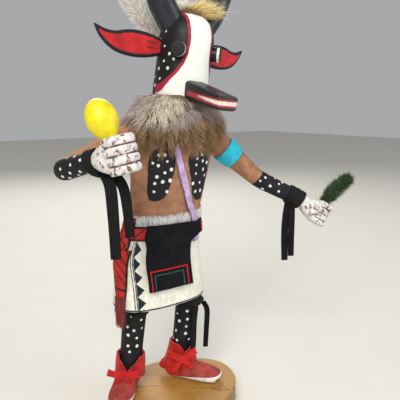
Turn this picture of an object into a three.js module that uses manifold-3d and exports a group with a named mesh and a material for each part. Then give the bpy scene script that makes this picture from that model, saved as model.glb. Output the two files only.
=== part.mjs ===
// A carved and dressed kachina doll of the cow kind: a painted wooden figure with glued-on arms, horns,
// ears, pop eyes and muzzle, fur and leather clothing, a rattle and a green sprig, on a slice of log.
//
// Millimetres, +Z up. The origin is the middle of the log slice's underside. The figure faces -Y, and its
// own left hand is on the +X side. It leans a little forward and to its left, as it was carved.

import * as THREE from "three";
import { mergeVertices } from "three/addons/utils/BufferGeometryUtils.js";
import Module from "manifold-3d";

const wasm = await Module();
wasm.setup();

// ---- Driving dimensions -------------------------------------------------------------------------------

const GAP = 0.3; // clearance between touching pieces
const LEATHER = 1.2; // thickness of the leather trim
const WAIST_GAP = 0.55; // clearance of the bands in the hollow of the waist
const MUZZLE_GAP = 0.375; // clearance of the fur round the muzzle

const BASE = { halfWidth: 49, halfDepth: 38, height: 14, edge: 0.8 };
const FLOOR = BASE.height + GAP; // the soles stand here

// The middle of the body and the head at rising heights: [z, x, y].
const SPINE = [
  [82, -4.6, 13.8], [100, -5.2, 13.2], [119, -6, 12.6], [135, -2.2, 11.6], [150, 0.2, 10.8], [183, 4.3, 9],
  [205, 6.5, 8], [227, 9.6, 6.6], [282, 17, 3],
];
const KILT = { hem: 82, top: 131, halfWidth: 35.2, halfDepth: 20.4 };
const BELT = { low: 132, high: 140.5 };
const BELT_KNOT = { low: 126, high: 146.5, bulge: 3 };
const FRINGE = { low: 140.8, high: 147, thickness: 1 };
const NECK = { z: 227.4, radius: 9 };

const HEAD = { z: 226.5, height: 56, radius: 18.6 };
const MUZZLE = { height: 4.5, length: 35, width: 15.5, rootHeight: 13, tipHeight: 9.4, pitch: -10 };
const EYE = { angle: 46, height: 30, radius: 4.9, reach: 6 };
const EAR = { height: 31.5, length: 46, width: 17.5, thickness: 3, sweep: 12 };
const HORN = { radius: 8.9, right: -101, left: 94 };

const SHOULDER = { right: [-21, 9, 203], left: [33, 5, 200.5] };
const ELBOW = { right: [-76, 7, 182.3], left: [71.5, -7.5, 166.4] };
const WRIST = { right: [-68.5, -20, 189.5], left: [98.5, -26.5, 149.8] };
const FIST = { right: [-62.3, -39.9, 194], left: [109.8, -34.8, 140.2] };
const RATTLE = { middle: [-66.8, -31.8, 212.8], length: 25, radius: 8.8, neck: 2.6 };
const SPRIG = { tip: [133.5, -46.5, 166], radius: 6.4 };

// Leather strips that hang free, and white plumes on the back of the mask.
const STRIPS = {
  wrist_tie_right_1: { width: 7, across: [0.8, -0.6, 0],
    route: [[-64, -28.2, 180.4], [-63.4, -31.6, 176], [-62.8, -33, 158], [-62, -32.9, 134]] },
  wrist_tie_right_2: { width: 6.2, across: [0.8, -0.6, 0],
    route: [[-58.8, -30.4, 180.2], [-57, -34.6, 175.6], [-55.8, -36.8, 162], [-55.2, -37.8, 147]] },
  wrist_tie_left_1: { width: 5.6, across: [0.8, -0.6, 0],
    route: [[90.4, -21.6, 142.8], [89, -22.2, 136], [87.6, -22.8, 124], [87.6, -23.8, 102]] },
  wrist_tie_left_2: { width: 5.2, across: [0.8, -0.6, 0],
    route: [[91.4, -25.8, 142.8], [90.8, -26.8, 135], [90.3, -27.3, 122], [90.2, -27.9, 106]] },
  knee_tie_right_1: { width: 4.6, across: [0.8, -0.6, 0],
    route: [[-20.9, 31.6, 71.4], [-23.2, 32, 54], [-26, 34.6, 34]] },
  knee_tie_right_2: { width: 4.4, across: [-0.4, 0.92, 0],
    route: [[-12.8, 25, 71], [-13.6, 25.9, 54], [-15.2, 26.4, 29.5]] },
  knee_tie_left_1: { width: 4.4, across: [0.8, -0.6, 0],
    route: [[31.4, 7.6, 71], [36.4, 9.2, 62], [36.4, 10, 46], [35.8, 10.4, 30.4]] },
  knee_tie_left_2: { width: 5, across: [1, 0, 0],
    route: [[19.2, 1, 71.4], [17, 0.2, 55], [14.8, -1.8, 38]] },
};
const PLUMES = {
  plume_right_1: { root: [1.4, 18.6, 262], tip: [-22, 30, 297], bow: [-4, 2, 5], width: 12 },
  plume_right_2: { root: [5.6, 21.3, 264], tip: [-6, 34, 306], bow: [-5, 3, 3], width: 13 },
  plume_left: { root: [26.8, 19.3, 262], tip: [35, 24, 290], bow: [4, 2, 2], width: 10 },
};

const LEG = { radius: 8.3, right: [-28.7, 21], left: [10.4, 11.6], run: { right: 0.12, left: 0.15 } };
const FOOT = { right: { splay: 43, reach: 30 }, left: { splay: 38, reach: 32 } };
// The suede cuffs open in a notch at the front, where each bow is tied.
const CUFF = {
  right: { low: 25, high: 41, flare: 11.5, notch: { halfWidth: 8.5, depth: 10.5 } },
  left: { low: 25, high: 42, flare: 13, notch: { halfWidth: 5, depth: 5 } },
};
const BOW = {
  right: { facing: -42, height: 30.5, out: 13.5 },
  left: { facing: -22, height: 35, out: 13.8 },
};

const SKIN = 0x96694a;
const BLACK = 0x141416;
const RED = 0xb3211d;
const WHITE = 0xe4e4de;
const LILAC = 0xb9a9d4;
const TURQUOISE = 0x2bb3cf;
const FUR = 0x8f7358;
const YELLOW = 0xe0cd12;
const GREEN = 0x1f5a30;

// ---- Forms: a centre line with a rounded section ------------------------------------------------------

/** Smooth values between rows. The first number of a row is its place along the form. */
function track(rows) {
  const last = rows.length - 1;
  const slope = (i, k) => {
    const a = rows[Math.max(i - 1, 0)];
    const b = rows[Math.min(i + 1, last)];
    return (b[k] - a[k]) / (b[0] - a[0]);
  };
  return (s) => {
    let i = 0;
    while (i < last - 1 && s > rows[i + 1][0]) i += 1;
    const h = rows[i + 1][0] - rows[i][0];
    const t = THREE.MathUtils.clamp((s - rows[i][0]) / h, 0, 1);
    return rows[i].map((p, k) => {
      const q = rows[i + 1][k];
      const m0 = slope(i, k) * h;
      const m1 = slope(i + 1, k) * h;
      const t2 = t * t;
      const t3 = t2 * t;
      return (2 * t3 - 3 * t2 + 1) * p + (t3 - 2 * t2 + t) * m0 + (3 * t2 - 2 * t3) * q + (t3 - t2) * m1;
    });
  };
}

/** An upright form: level sections along a leaning axis. Rows: [height, half width, half depth, power]. */
function upright(axis, rows) {
  const size = track(rows);
  const at = (s) => {
    const [, a, b, power] = size(s);
    return { centre: axis(s), u: new THREE.Vector3(1, 0, 0), v: new THREE.Vector3(0, -1, 0), a, b, power };
  };
  return { at, from: rows[0][0], to: rows[rows.length - 1][0] };
}

/** A limb: sections square to a curved centre line. Rows are [x, y, z, half width, half depth, power]. */
function limb(rows, facing) {
  const values = track(rows.map((row, i) => [i, ...row]));
  const point = (s) => new THREE.Vector3(...values(s).slice(1, 4));
  const last = rows.length - 1;
  const at = (s) => {
    const [, , , , a, b, power] = values(s);
    const step = 0.02;
    const ahead = point(Math.min(s + step, last)).sub(point(Math.max(s - step, 0))).normalize();
    const v = facing.clone().addScaledVector(ahead, -facing.dot(ahead)).normalize();
    const u = new THREE.Vector3().crossVectors(ahead, v);
    return { centre: point(s), u, v, a, b, power };
  };
  return { at, from: 0, to: last };
}

/** A point of a form's skin: angle 0 is its front, and a quarter turn on is its left side. */
function skin(form, s, angle, offset = 0, share = 1) {
  const { centre, u, v, a, b, power } = form.at(s);
  const round = (w) => (Math.abs(w) < 1e-9 ? 0 : Math.sign(w) * Math.abs(w) ** (2 / power));
  return centre.clone()
    .addScaledVector(u, share * (a + offset) * round(Math.sin(angle)))
    .addScaledVector(v, share * (b + offset) * round(Math.cos(angle)));
}

/** Moves every point of a geometry with a function and leaves only the positions, joined up. */
function reshape(geometry, move) {
  const place = geometry.attributes.position;
  const p = new THREE.Vector3();
  for (let i = 0; i < place.count; i += 1) {
    p.fromBufferAttribute(place, i);
    place.setXYZ(i, ...move(p));
  }
  geometry.deleteAttribute("normal");
  geometry.deleteAttribute("uv");
  return mergeVertices(geometry, 1e-4);
}

/** The closed body of a form, between two places on it, grown by a clearance where something is cut. */
function body(form, { sides = 20, rings = 8, grow = 0, from = form.from, to = form.to } = {}) {
  const blank = new THREE.CylinderGeometry(1, 1, 1, sides, rings);
  return reshape(blank, (p) => {
    const share = Math.min(Math.hypot(p.x, p.z), 1);
    const end = p.y > 0.499 ? 1 : p.y < -0.499 ? -1 : 0;
    const s = from + (p.y + 0.5) * (to - from);
    const q = skin(form, s, Math.atan2(p.x, p.z), grow, share);
    const { u, v } = form.at(s);
    return q.addScaledVector(new THREE.Vector3().crossVectors(v, u), end * grow);
  });
}

/** A band round a form. The height and the two offsets may be numbers or functions of the angle. */
function band(form, { low, high, inner, outer, sides = 32 }) {
  const value = (w, angle) => (typeof w === "function" ? w(angle) : w);
  const blank = new THREE.TorusGeometry(2, 1, 4, sides);
  return reshape(blank, (p) => {
    const angle = Math.atan2(p.y, p.x);
    const corner = Math.atan2(p.z, Math.hypot(p.x, p.y) - 2) + Math.PI / 4;
    const out = Math.cos(corner) > 0 ? 1 : 0;
    const up = Math.sin(corner) > 0 ? 1 : 0;
    const s = THREE.MathUtils.lerp(value(low, angle), value(high, angle), up);
    const offset = THREE.MathUtils.lerp(value(inner, angle), value(outer, angle), out);
    return skin(form, s, angle, offset);
  });
}

/** A patch of sheet lying on a form: place() gives [height, angle, offset] for u, v and depth in 0..1. */
function patch(form, nu, nv, place) {
  const blank = new THREE.BoxGeometry(1, 1, 1, nu, nv, 1);
  return reshape(blank, (p) => skin(form, ...place(p.x + 0.5, p.y + 0.5, p.z + 0.5)));
}

/** A flat strip along points, with its width along one direction and its ends cut square. */
function strip(points, width, thickness, across, steps = 10) {
  const route = new THREE.CatmullRomCurve3(points.map((p) => new THREE.Vector3(...p)));
  const side = new THREE.Vector3(...across).normalize();
  const blank = new THREE.BoxGeometry(1, 1, 1, 1, steps, 1);
  return reshape(blank, (p) => {
    const t = 0.5 - p.y;
    const ahead = route.getTangent(t);
    const u = side.clone().addScaledVector(ahead, -side.dot(ahead)).normalize();
    const out = new THREE.Vector3().crossVectors(ahead, u);
    return route.getPoint(t).addScaledVector(u, p.x * width).addScaledVector(out, p.z * thickness);
  });
}

// ---- Joining and cutting ------------------------------------------------------------------------------

function solid(geometry) {
  const bare = geometry.clone();
  for (const name of ["normal", "uv"]) if (bare.attributes[name]) bare.deleteAttribute(name);
  const joined = mergeVertices(bare, 1e-4);
  const corners = new Float32Array(joined.attributes.position.array);
  const faces = new Uint32Array(joined.index.array);
  return new wasm.Manifold(new wasm.Mesh({ numProp: 3, vertProperties: corners, triVerts: faces }));
}

function shell(manifold) {
  const mesh = manifold.getMesh();
  const geometry = new THREE.BufferGeometry();
  geometry.setAttribute("position", new THREE.BufferAttribute(mesh.vertProperties, 3));
  geometry.setIndex(new THREE.BufferAttribute(mesh.triVerts, 1));
  return geometry;
}

function join(geometries) {
  return geometries.map(solid).reduce((whole, next) => whole.add(next));
}

function carve(manifold, cutters) {
  return cutters.map(solid).reduce((rest, next) => rest.subtract(next), manifold);
}

// ---- The doll -----------------------------------------------------------------------------------------

const doll = new THREE.Group();

function add(name, geometry, colour, roughness = 0.6) {
  const paint = new THREE.MeshStandardMaterial({ color: colour, roughness, metalness: 0 });
  const mesh = new THREE.Mesh(geometry, paint);
  mesh.name = name;
  doll.add(mesh);
  return mesh;
}

const turn = (degrees) => THREE.MathUtils.degToRad(degrees);
const FRONT = new THREE.Vector3(0, -1, 0);
const UPWARD = new THREE.Vector3(0, 0, 1);

/** The middle of the body at a height. */
const spine = track(SPINE);
function axis(z) {
  const [, x, y] = spine(z);
  return new THREE.Vector3(x, y, z);
}

// The log slice: a flat disc, not quite round.
function makeBase() {
  const points = [];
  const steps = 30;
  for (let i = 0; i < steps; i += 1) {
    const a = (i / steps) * Math.PI * 2;
    const r = 1 + 0.018 * Math.cos(3 * a + 0.6) + 0.012 * Math.sin(5 * a);
    points.push(new THREE.Vector2(BASE.halfWidth * r * Math.cos(a), BASE.halfDepth * r * Math.sin(a)));
  }
  const round = { depth: BASE.height - 2 * BASE.edge, bevelEnabled: true, bevelSegments: 1 };
  const rim = { bevelSize: BASE.edge, bevelThickness: BASE.edge, bevelOffset: -BASE.edge };
  const geometry = new THREE.ExtrudeGeometry(new THREE.Shape(points), { ...round, ...rim });
  geometry.translate(0, 0, BASE.edge);
  return reshape(geometry, (p) => p);
}

// The carved body: kilt, waist, chest, shoulders and neck.
const torso = upright(axis, [
  [KILT.hem, KILT.halfWidth, KILT.halfDepth, 2.6], [100, 33.7, 20, 2.6], [119, 32.2, 19.2, 2.6],
  [KILT.top - 3, 30.9, 18.2, 2.5], [135, 29.4, 17.2, 2.4], [141, 27.8, 16.4, 2.3], [150, 27.4, 16.2, 2.3],
  [166, 28.8, 16.6, 2.3], [184, 30.8, 17.4, 2.3], [198, 30.8, 17, 2.3], [209, 25.5, 15.2, 2.2],
  [216, 17, 12.5, 2.1], [221, NECK.radius + 1, NECK.radius + 1, 2], [NECK.z, NECK.radius, NECK.radius, 2],
]);

/** A leg from inside the kilt down into its moccasin. */
function legForm(name) {
  const [x, y] = LEG[name];
  const r0 = LEG.radius;
  const rows = [[20, r0 - 0.7], [34, r0 - 0.3], [52, r0], [70, r0 + 0.5], [KILT.hem + 6, r0 + 0.6]];
  return limb(rows.map(([z, r]) => [x + LEG.run[name] * (z - FLOOR), y, z, r, r, 2]), FRONT);
}

/** A moccasin: a flat sole under a low rounded upper, from the heel to the toe. */
function footForm(name) {
  const [x, y] = LEG[name];
  const { splay, reach } = FOOT[name];
  const way = turn(name === "left" ? splay : -splay);
  const ahead = new THREE.Vector3(Math.sin(way), -Math.cos(way), 0);
  const rows = [
    [-10.5, 9, 2.5], [-9.4, 13, 5.6], [-4, 16, 7.6], [4, 15.6, 8.2], [12, 12, 8.6],
    [reach - 12, 9.8, 9], [reach - 5, 8.4, 8.2], [reach - 1, 7.2, 6.4], [reach, 6, 4],
  ];
  const place = ([s, h, w]) => [x + ahead.x * s, y + ahead.y * s, FLOOR + h / 2, w, h / 2, 2.8];
  return limb(rows.map(place), UPWARD);
}

function makeBody() {
  const parts = [body(torso, { sides: 24, rings: 14 })];
  for (const name of ["right", "left"]) {
    parts.push(body(legForm(name), { sides: 12, rings: 4 }));
    parts.push(body(footForm(name), { sides: 12, rings: 7 }));
  }
  return join(parts);
}

// The case mask: a cylinder with a domed top, square to its own leaning axis.
const HEAD_FOOT = axis(HEAD.z);
const HEAD_UP = axis(HEAD.z + HEAD.height).sub(HEAD_FOOT).normalize();
const FACE_UP = new THREE.Vector3(0.07, -0.06, 1).normalize(); // what is glued on leans a little less
const onHead = (h) => HEAD_FOOT.clone().addScaledVector(HEAD_UP, h);

function headForm(grow) {
  const top = HEAD.height + grow;
  const rows = [
    [-grow, 0.965], [1.5, 1], [20, 1], [top - 19, 1], [top - 12, 0.93], [top - 6, 0.76], [top - 2, 0.48],
    [top, 0.12],
  ];
  return limb(rows.map(([h, share]) => {
    const r = (HEAD.radius + grow) * share;
    return [...onHead(h), r, r, 2];
  }), FRONT);
}
const makeHead = (grow = 0) => body(headForm(grow), { sides: 22, rings: 8 });

/** Directions on the head: straight out at an angle from the front, and to that direction's left. */
function headFrame(degrees) {
  const out = new THREE.Vector3(Math.sin(turn(degrees)), -Math.cos(turn(degrees)), 0);
  out.addScaledVector(FACE_UP, -out.dot(FACE_UP)).normalize();
  return { out, side: new THREE.Vector3().crossVectors(FACE_UP, out) };
}

function makeEye(side) {
  const { out } = headFrame(side * EYE.angle);
  const rows = [[HEAD.radius - 2.5, 1], [HEAD.radius + EYE.reach - 1, 1], [HEAD.radius + EYE.reach, 0.86]];
  const form = limb(rows.map(([d, share]) => (
    [...onHead(EYE.height).addScaledVector(out, d), EYE.radius * share, EYE.radius * share, 2])), FACE_UP);
  return carve(solid(body(form, { sides: 14, rings: 2 })), [makeHead(GAP)]);
}

/** The muzzle: a long flat-sided snout, thinner and rounded off at its front end. */
function makeMuzzle(grow = 0) {
  const { out, side } = headFrame(0);
  const ahead = out.clone().applyAxisAngle(side, -turn(MUZZLE.pitch));
  const half = MUZZLE.width / 2;
  const root = onHead(MUZZLE.height).addScaledVector(out, HEAD.radius);
  const rows = [[-0.14, 0, 0], [0, 0, 0], [0.5, 0.5, 0], [0.93, 1, 0], [1, 1, 1.6]].map(([s, t, round]) => {
    const high = THREE.MathUtils.lerp(MUZZLE.rootHeight, MUZZLE.tipHeight, t) / 2;
    const p = root.clone().addScaledVector(ahead, s * MUZZLE.length);
    return [...p, half - round, high - round * 0.5, 5];
  });
  return carve(solid(body(limb(rows, FACE_UP), { sides: 16, rings: 5, grow })), [makeHead(GAP)]);
}

/** An ear: a flat board with a leaf outline and an upturned tip, swept back from the head. */
function makeEar(side) {
  const half = EAR.width / 2;
  const end = EAR.length;
  const outline = new THREE.Shape();
  outline.moveTo(0, -half * 0.55);
  outline.bezierCurveTo(end * 0.2, -half * 1.05, end * 0.52, -half * 1.15, end * 0.72, -half * 0.68);
  outline.bezierCurveTo(end * 0.86, -half * 0.3, end * 0.96, half * 0.3, end, half * 0.98);
  outline.bezierCurveTo(end * 0.93, half * 0.9, end * 0.84, half * 0.52, end * 0.66, half * 0.72);
  outline.bezierCurveTo(end * 0.45, half * 1.1, end * 0.22, half * 0.95, 0, half * 0.5);
  const cut = { depth: EAR.thickness, bevelEnabled: false, curveSegments: 6 };
  const board = new THREE.ExtrudeGeometry(outline, cut);
  board.translate(HEAD.radius - 2, 0, -EAR.thickness / 2);
  const { out } = headFrame(side * (90 + EAR.sweep));
  const face = new THREE.Vector3().crossVectors(out, FACE_UP);
  const placed = reshape(board, (p) => onHead(EAR.height)
    .addScaledVector(out, p.x).addScaledVector(FACE_UP, p.y).addScaledVector(face, p.z));
  return carve(solid(placed), [makeHead(GAP)]);
}

/** A horn: out and up from the side of the crown, then curving in to a blunt tip. */
function makeHorn(side, grow = 0) {
  const { out } = headFrame(side < 0 ? HORN.right : HORN.left);
  const rows = [
    [8, -14, 1], [15, -5, 1], [22, 6, 0.98], [27.5, 19, 0.86], [29.5, 32, 0.64], [27.5, 42, 0.4],
    [25, 48, 0.14],
  ].map(([x, z, share]) => {
    const p = onHead(HEAD.height - 14).addScaledVector(FACE_UP, z + 14).addScaledVector(out, x);
    return [...p, HORN.radius * share + grow, HORN.radius * share + grow, 2];
  });
  return carve(solid(body(limb(rows, FRONT), { sides: 10, rings: 7 })), [makeHead(GAP)]);
}

// ---- Arms ---------------------------------------------------------------------------------------------

const vector = (p) => new THREE.Vector3(...p);

function armForm(name) {
  const a = vector(SHOULDER[name]);
  const b = vector(ELBOW[name]);
  const c = vector(WRIST[name]);
  const on = (p, q, t, r) => [...p.clone().lerp(q, t), r, r, 2.1];
  const rows = [
    on(a, b, -0.05, 9), on(a, b, 0.3, 8.8), on(a, b, 0.65, 7.4), on(a, b, 0.92, 6.6),
    on(b, c, 0.12, 6.6), on(b, c, 0.5, 6.3), on(b, c, 1, 5.7), on(c, vector(FIST[name]), 0.55, 5.5),
  ];
  return limb(rows, UPWARD);
}

/** The directions of a closed hand: along the forearm, up through the thumb, and out of its back. */
function handFrame(name, upHint) {
  const ahead = vector(FIST[name]).sub(vector(ELBOW[name])).normalize();
  const up = upHint.clone().addScaledVector(ahead, -upHint.dot(ahead)).normalize();
  const back = new THREE.Vector3().crossVectors(ahead, up);
  const spot = (f, b, h) => vector(FIST[name])
    .addScaledVector(ahead, f).addScaledVector(back, b).addScaledVector(up, h);
  return { up, spot };
}

/** A closed hand: a palm block with four fingers rolled round its front and a thumb over the top. */
function handGeometries({ up, spot }, size) {
  const palmRows = [[-13, 5.4, 5.4], [-8, 6.6, 7.6], [-1, 6.6, 9.6], [4, 5.2, 9.4]];
  const palm = limb(palmRows.map(([f, w, h]) => [...spot(f * size, 0, 0), w * size, h * size, 3]), up);
  const parts = [body(palm, { sides: 10, rings: 3 })];
  const roll = [[-2, 4.9], [4.5, 4.8], [7.8, 1.6], [7.9, -3], [5, -6], [-1.5, -5.8]];
  for (let i = 0; i < 4; i += 1) {
    const r = (i === 3 ? 2.35 : 2.6) * size;
    const h = (7.3 - i * 4.85) * size;
    const rows = roll.map(([f, b]) => [...spot(f * size, b * size, h), r, r, 3]);
    parts.push(body(limb(rows, up), { sides: 6, rings: 4 }));
  }
  const thumb = [[-7, -4.5, 6], [-2, -6.4, 8.4], [3, -6, 10.4], [6.2, -3.4, 10.6]];
  const thick = 2.5 * size;
  const thumbRows = thumb.map(([f, b, h]) => [...spot(f * size, b * size, h * size), thick, thick, 2.4]);
  parts.push(body(limb(thumbRows, up), { sides: 6, rings: 3 }));
  return parts;
}

const rattleUp = vector(RATTLE.middle).sub(vector(FIST.right)).normalize();
const rightHand = handFrame("right", rattleUp);
const sprigUp = vector(SPRIG.tip).sub(vector(FIST.left)).normalize();
const leftHand = handFrame("left", sprigUp);

/** The rattle: an egg-shaped gourd on a thin handle that goes into the fist. */
function rattleForm(grow = 0) {
  const half = RATTLE.length / 2;
  const to = (h, r) => [...vector(RATTLE.middle).addScaledVector(rattleUp, h), r + grow, r + grow, 2];
  const R = RATTLE.radius;
  return limb([
    to(-half - 16 - grow, RATTLE.neck), to(-half - 4, RATTLE.neck), to(-half + 0.5, RATTLE.neck + 0.6),
    to(-half + 5, R * 0.72), to(-half + 10, R * 0.97), to(half - 10, R), to(half - 4.5, R * 0.8),
    to(half - 1.2, R * 0.42), to(half, R * 0.1),
  ], FRONT);
}
const makeRattle = (grow = 0) => body(rattleForm(grow), { sides: 12, rings: 9 });

/** The sprig: a bushy tapered bunch of evergreen held in the left hand. */
function sprigForm(grow = 0) {
  const tip = vector(SPRIG.tip);
  const foot = vector(FIST.left);
  const R = SPRIG.radius;
  const rows = [[0.1, 0.35], [0.26, 0.6], [0.42, 1], [0.66, 1.02], [0.88, 0.78], [1, 0.28]];
  return limb(rows.map(([t, share]) => {
    const p = foot.clone().lerp(tip, t);
    p.z += 2.2 * Math.sin(t * Math.PI);
    return [...p, R * share + grow, R * share * 0.9 + grow, 2.2];
  }), FRONT);
}
const makeSprig = (grow = 0) => body(sprigForm(grow), { sides: 10, rings: 7 });

// ---- Clothing -----------------------------------------------------------------------------------------

// The lilac shoulder strap crosses the chest from the right shoulder to the left hip: [height, angle, lift].
const STRAP = { width: 5.4, thickness: 0.9 };
const strapTrack = track([
  [126, 33, 0.6], [131, 32.5, 0.8], [136, 31, 1], [140, 27.5, 1.6], [144.5, 22.5, 2.3], [149, 17.8, 2],
  [154, 13.4, 1.1], [160, 8.6, 0.6], [172, 0, 0.5], [184, -7.6, 0.5], [196, -15, 0.5], [203, -20, 0.5],
]);

function strapPlace(grow) {
  const low = 126 - grow;
  const high = 203 + grow;
  return (u, v, depth) => {
    const z = THREE.MathUtils.lerp(low, high, v);
    const [, middle, lift] = strapTrack(z);
    const half = STRAP.width / 2 + grow;
    const reach = torsoSpan(z, turn(middle));
    const angle = turn(middle) + ((u - 0.5) * 2 * half) / reach;
    return [z, angle, lift - grow + depth * (STRAP.thickness + 2 * grow)];
  };
}

/** How far the skin runs for each radian of angle, near an angle. */
function torsoSpan(z, angle) {
  const step = 0.12;
  return skin(torso, z, angle + step).distanceTo(skin(torso, z, angle - step)) / (2 * step);
}
const makeStrap = (grow = 0) => patch(torso, 2, 15, strapPlace(grow));

/** How much a band must lift where it runs over the strap. */
function overStrap(z) {
  const [, middle, lift] = strapTrack(z);
  return (angle) => {
    const away = Math.abs(angle - turn(middle)) / 0.42;
    return (lift + STRAP.thickness) * Math.max(0, 1 - Math.max(0, away - 0.45) * 1.8);
  };
}

function makeFringe() {
  const { low, high, thickness } = FRINGE;
  return band(torso, { low, high, inner: WAIST_GAP, outer: WAIST_GAP + thickness, sides: 28 });
}

function makeBelt() {
  const lift = overStrap(BELT.high);
  const inner = (angle) => WAIST_GAP + lift(angle);
  const outer = (angle) => inner(angle) + LEATHER;
  const ring = band(torso, { low: BELT.low, high: BELT.high, inner, outer, sides: 36 });
  const knot = patch(torso, 4, 4, (u, v, depth) => {
    const z = THREE.MathUtils.lerp(BELT_KNOT.low, BELT_KNOT.high, v);
    const waist = Math.sin(Math.PI * u) * Math.sin(Math.PI * v);
    const from = z > BELT.high ? WAIST_GAP + FRINGE.thickness + GAP : 1.1;
    return [z, turn(THREE.MathUtils.lerp(-106, -68, u)), from + depth * (1.5 + BELT_KNOT.bulge * waist)];
  });
  return shell(join([ring, knot]));
}

// The black apron: a leather flap that goes over the belt and hangs down the front of the kilt.
const APRON = { low: 97, high: 141.8, lift: 2.5, swing: 0.9 };
const apronSides = track([[97, -28, 15], [112, -30, 15], [127, -35, 16], [131.5, -40, 20], [134, -43, 27],
  [141.8, -45, 28]]);

function apronPlace(u, v, depth) {
  const z = THREE.MathUtils.lerp(APRON.low, APRON.high, v);
  const [, right, left] = apronSides(z);
  const angle = turn(THREE.MathUtils.lerp(right, left, u));
  const onBelt = THREE.MathUtils.smoothstep(z, BELT.low - 4, BELT.low);
  const lift = APRON.lift + (1 - v) * APRON.swing + onBelt * overStrap(BELT.high)(angle);
  return [z, angle, lift + depth * LEATHER];
}

// The sash hangs from a knot on the right hip, narrowing into a fringe.
const SASH = { low: 71, high: 125.4 };

function sashPlace(u, v, depth) {
  const z = THREE.MathUtils.lerp(SASH.low, SASH.high, v);
  const level = Math.max(z, KILT.hem + 0.5);
  const left = THREE.MathUtils.lerp(-83, -100, v);
  const right = THREE.MathUtils.lerp(-71, -60, v);
  const angle = turn(THREE.MathUtils.lerp(left, right, u));
  return { level, z, angle, offset: 0.7 + depth * LEATHER };
}

function makeSash() {
  const blank = new THREE.BoxGeometry(1, 1, 1, 4, 9, 1);
  return reshape(blank, (p) => {
    const { level, z, angle, offset } = sashPlace(p.x + 0.5, p.y + 0.5, p.z + 0.5);
    const q = skin(torso, level, angle, offset);
    q.z += z - level;
    return q;
  });
}

/** A band round a limb with a knot standing out of it, as one piece. */
function knotted(form, { low, high, thickness, sides, knot }) {
  const ring = band(form, { low, high, inner: GAP, outer: GAP + thickness, sides });
  const lump = patch(form, 2, 2, (u, v, depth) => {
    const s = THREE.MathUtils.lerp(low, high, 0.5 + (v - 0.5) * 0.8);
    const angle = turn(knot.angle) + (u - 0.5) * knot.spread;
    const swell = 0.35 + 0.65 * Math.sin(Math.PI * u) * Math.sin(Math.PI * v);
    return [s, angle, GAP + 0.6 * thickness + depth * knot.bulge * swell];
  });
  return shell(join([ring, lump]));
}

// ---- Fur and feathers ---------------------------------------------------------------------------------

const ruffRows = [
  [194, 30, 20], [199, 36, 25], [207, 39, 28], [215, 37.5, 27], [221, 33, 24.5], [226, 26.5, 21.5],
  [228, 23, 20],
];
const ruffForm = upright((z) => axis(z).add(new THREE.Vector3(-3, -1, 0)),
  ruffRows.map(([z, a, b]) => [z, a, b, 2.1]));

/** A feather: a thin leaf blade that bends away from its root. */
function feather(root, tip, bow, width) {
  const a = vector(root);
  const b = vector(tip);
  const rows = [[0, 0.12], [0.15, 0.4], [0.4, 0.9], [0.7, 1], [0.9, 0.65], [1, 0.12]].map(([t, share]) => {
    const p = a.clone().lerp(b, t).add(vector(bow).multiplyScalar(4 * t * (1 - t)));
    return [...p, (width / 2) * share, 0.8, 2];
  });
  return body(limb(rows, FRONT), { sides: 6, rings: 5 });
}

/** The fur ruff lies round the neck, over the shoulders and up round the foot of the mask. */
function makeRuff(cutters) {
  return carve(solid(body(ruffForm, { sides: 18, rings: 4 })), cutters);
}

/** The tuft of down on the crown, between the horns. */
function makeTuft() {
  const rows = [[-9, 9], [-2, 12.5], [5, 12], [10, 8], [12.5, 2.5]];
  const form = limb(rows.map(([h, r]) => [...onHead(HEAD.height + h), r, r, 2]), FRONT);
  const rest = carve(solid(body(form, { sides: 10, rings: 4 })), [makeHead(GAP)]);
  return rest.subtract(makeHorn(-1, GAP)).subtract(makeHorn(1, GAP));
}

// ---- Boots and knees ----------------------------------------------------------------------------------

/** The outside of a boot cuff, flaring out from the ankle over the moccasin. */
function makeCuffBlank(name, grow = 0) {
  const [x, y] = LEG[name];
  const { low, high, flare } = CUFF[name];
  const rows = [[low, flare], [low + 2.5, flare - 0.5], [(low + high) / 2 + 1.5, 11], [high, 10.2]];
  const form = limb(rows.map(([z, r]) => [x + LEG.run[name] * (z - FLOOR), y, z, r, r, 2]), FRONT);
  return body(form, { sides: 12, rings: 3, grow });
}

/** The directions of a bow: straight out of the boot, and across it. */
function bowFrame(name) {
  const way = turn(BOW[name].facing);
  const ahead = new THREE.Vector3(Math.sin(way), -Math.cos(way), 0);
  const across = new THREE.Vector3(Math.cos(way), Math.sin(way), 0);
  const [x, y] = LEG[name];
  return { ahead, across, foot: new THREE.Vector3(x, y, 0) };
}

/** The wedge of air in the front of a cuff. */
function makeNotch(name) {
  const { high, notch } = CUFF[name];
  const { ahead, across, foot } = bowFrame(name);
  const spare = 1.2; // the wedge runs on past the rim by this share
  const top = high + (spare - 1) * notch.depth;
  const wedge = new THREE.Shape([
    new THREE.Vector2(0, high - notch.depth), new THREE.Vector2(notch.halfWidth * spare, top),
    new THREE.Vector2(-notch.halfWidth * spare, top),
  ]);
  const depth = CUFF[name].flare * 2;
  const blank = new THREE.ExtrudeGeometry(wedge, { depth, bevelEnabled: false });
  const lean = LEG.run[name] * (high - FLOOR);
  return reshape(blank, (p) => foot.clone().add(new THREE.Vector3(lean, 0, p.y))
    .addScaledVector(across, p.x).addScaledVector(ahead, p.z));
}

/** A suede boot cuff with the leg and the moccasin cut out of it. */
function makeCuff(name) {
  const leg = body(legForm(name), { sides: 12, rings: 4, grow: GAP });
  const foot = body(footForm(name), { sides: 12, rings: 7, grow: GAP });
  return carve(solid(makeCuffBlank(name)), [leg, foot, makeNotch(name)]);
}

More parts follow.
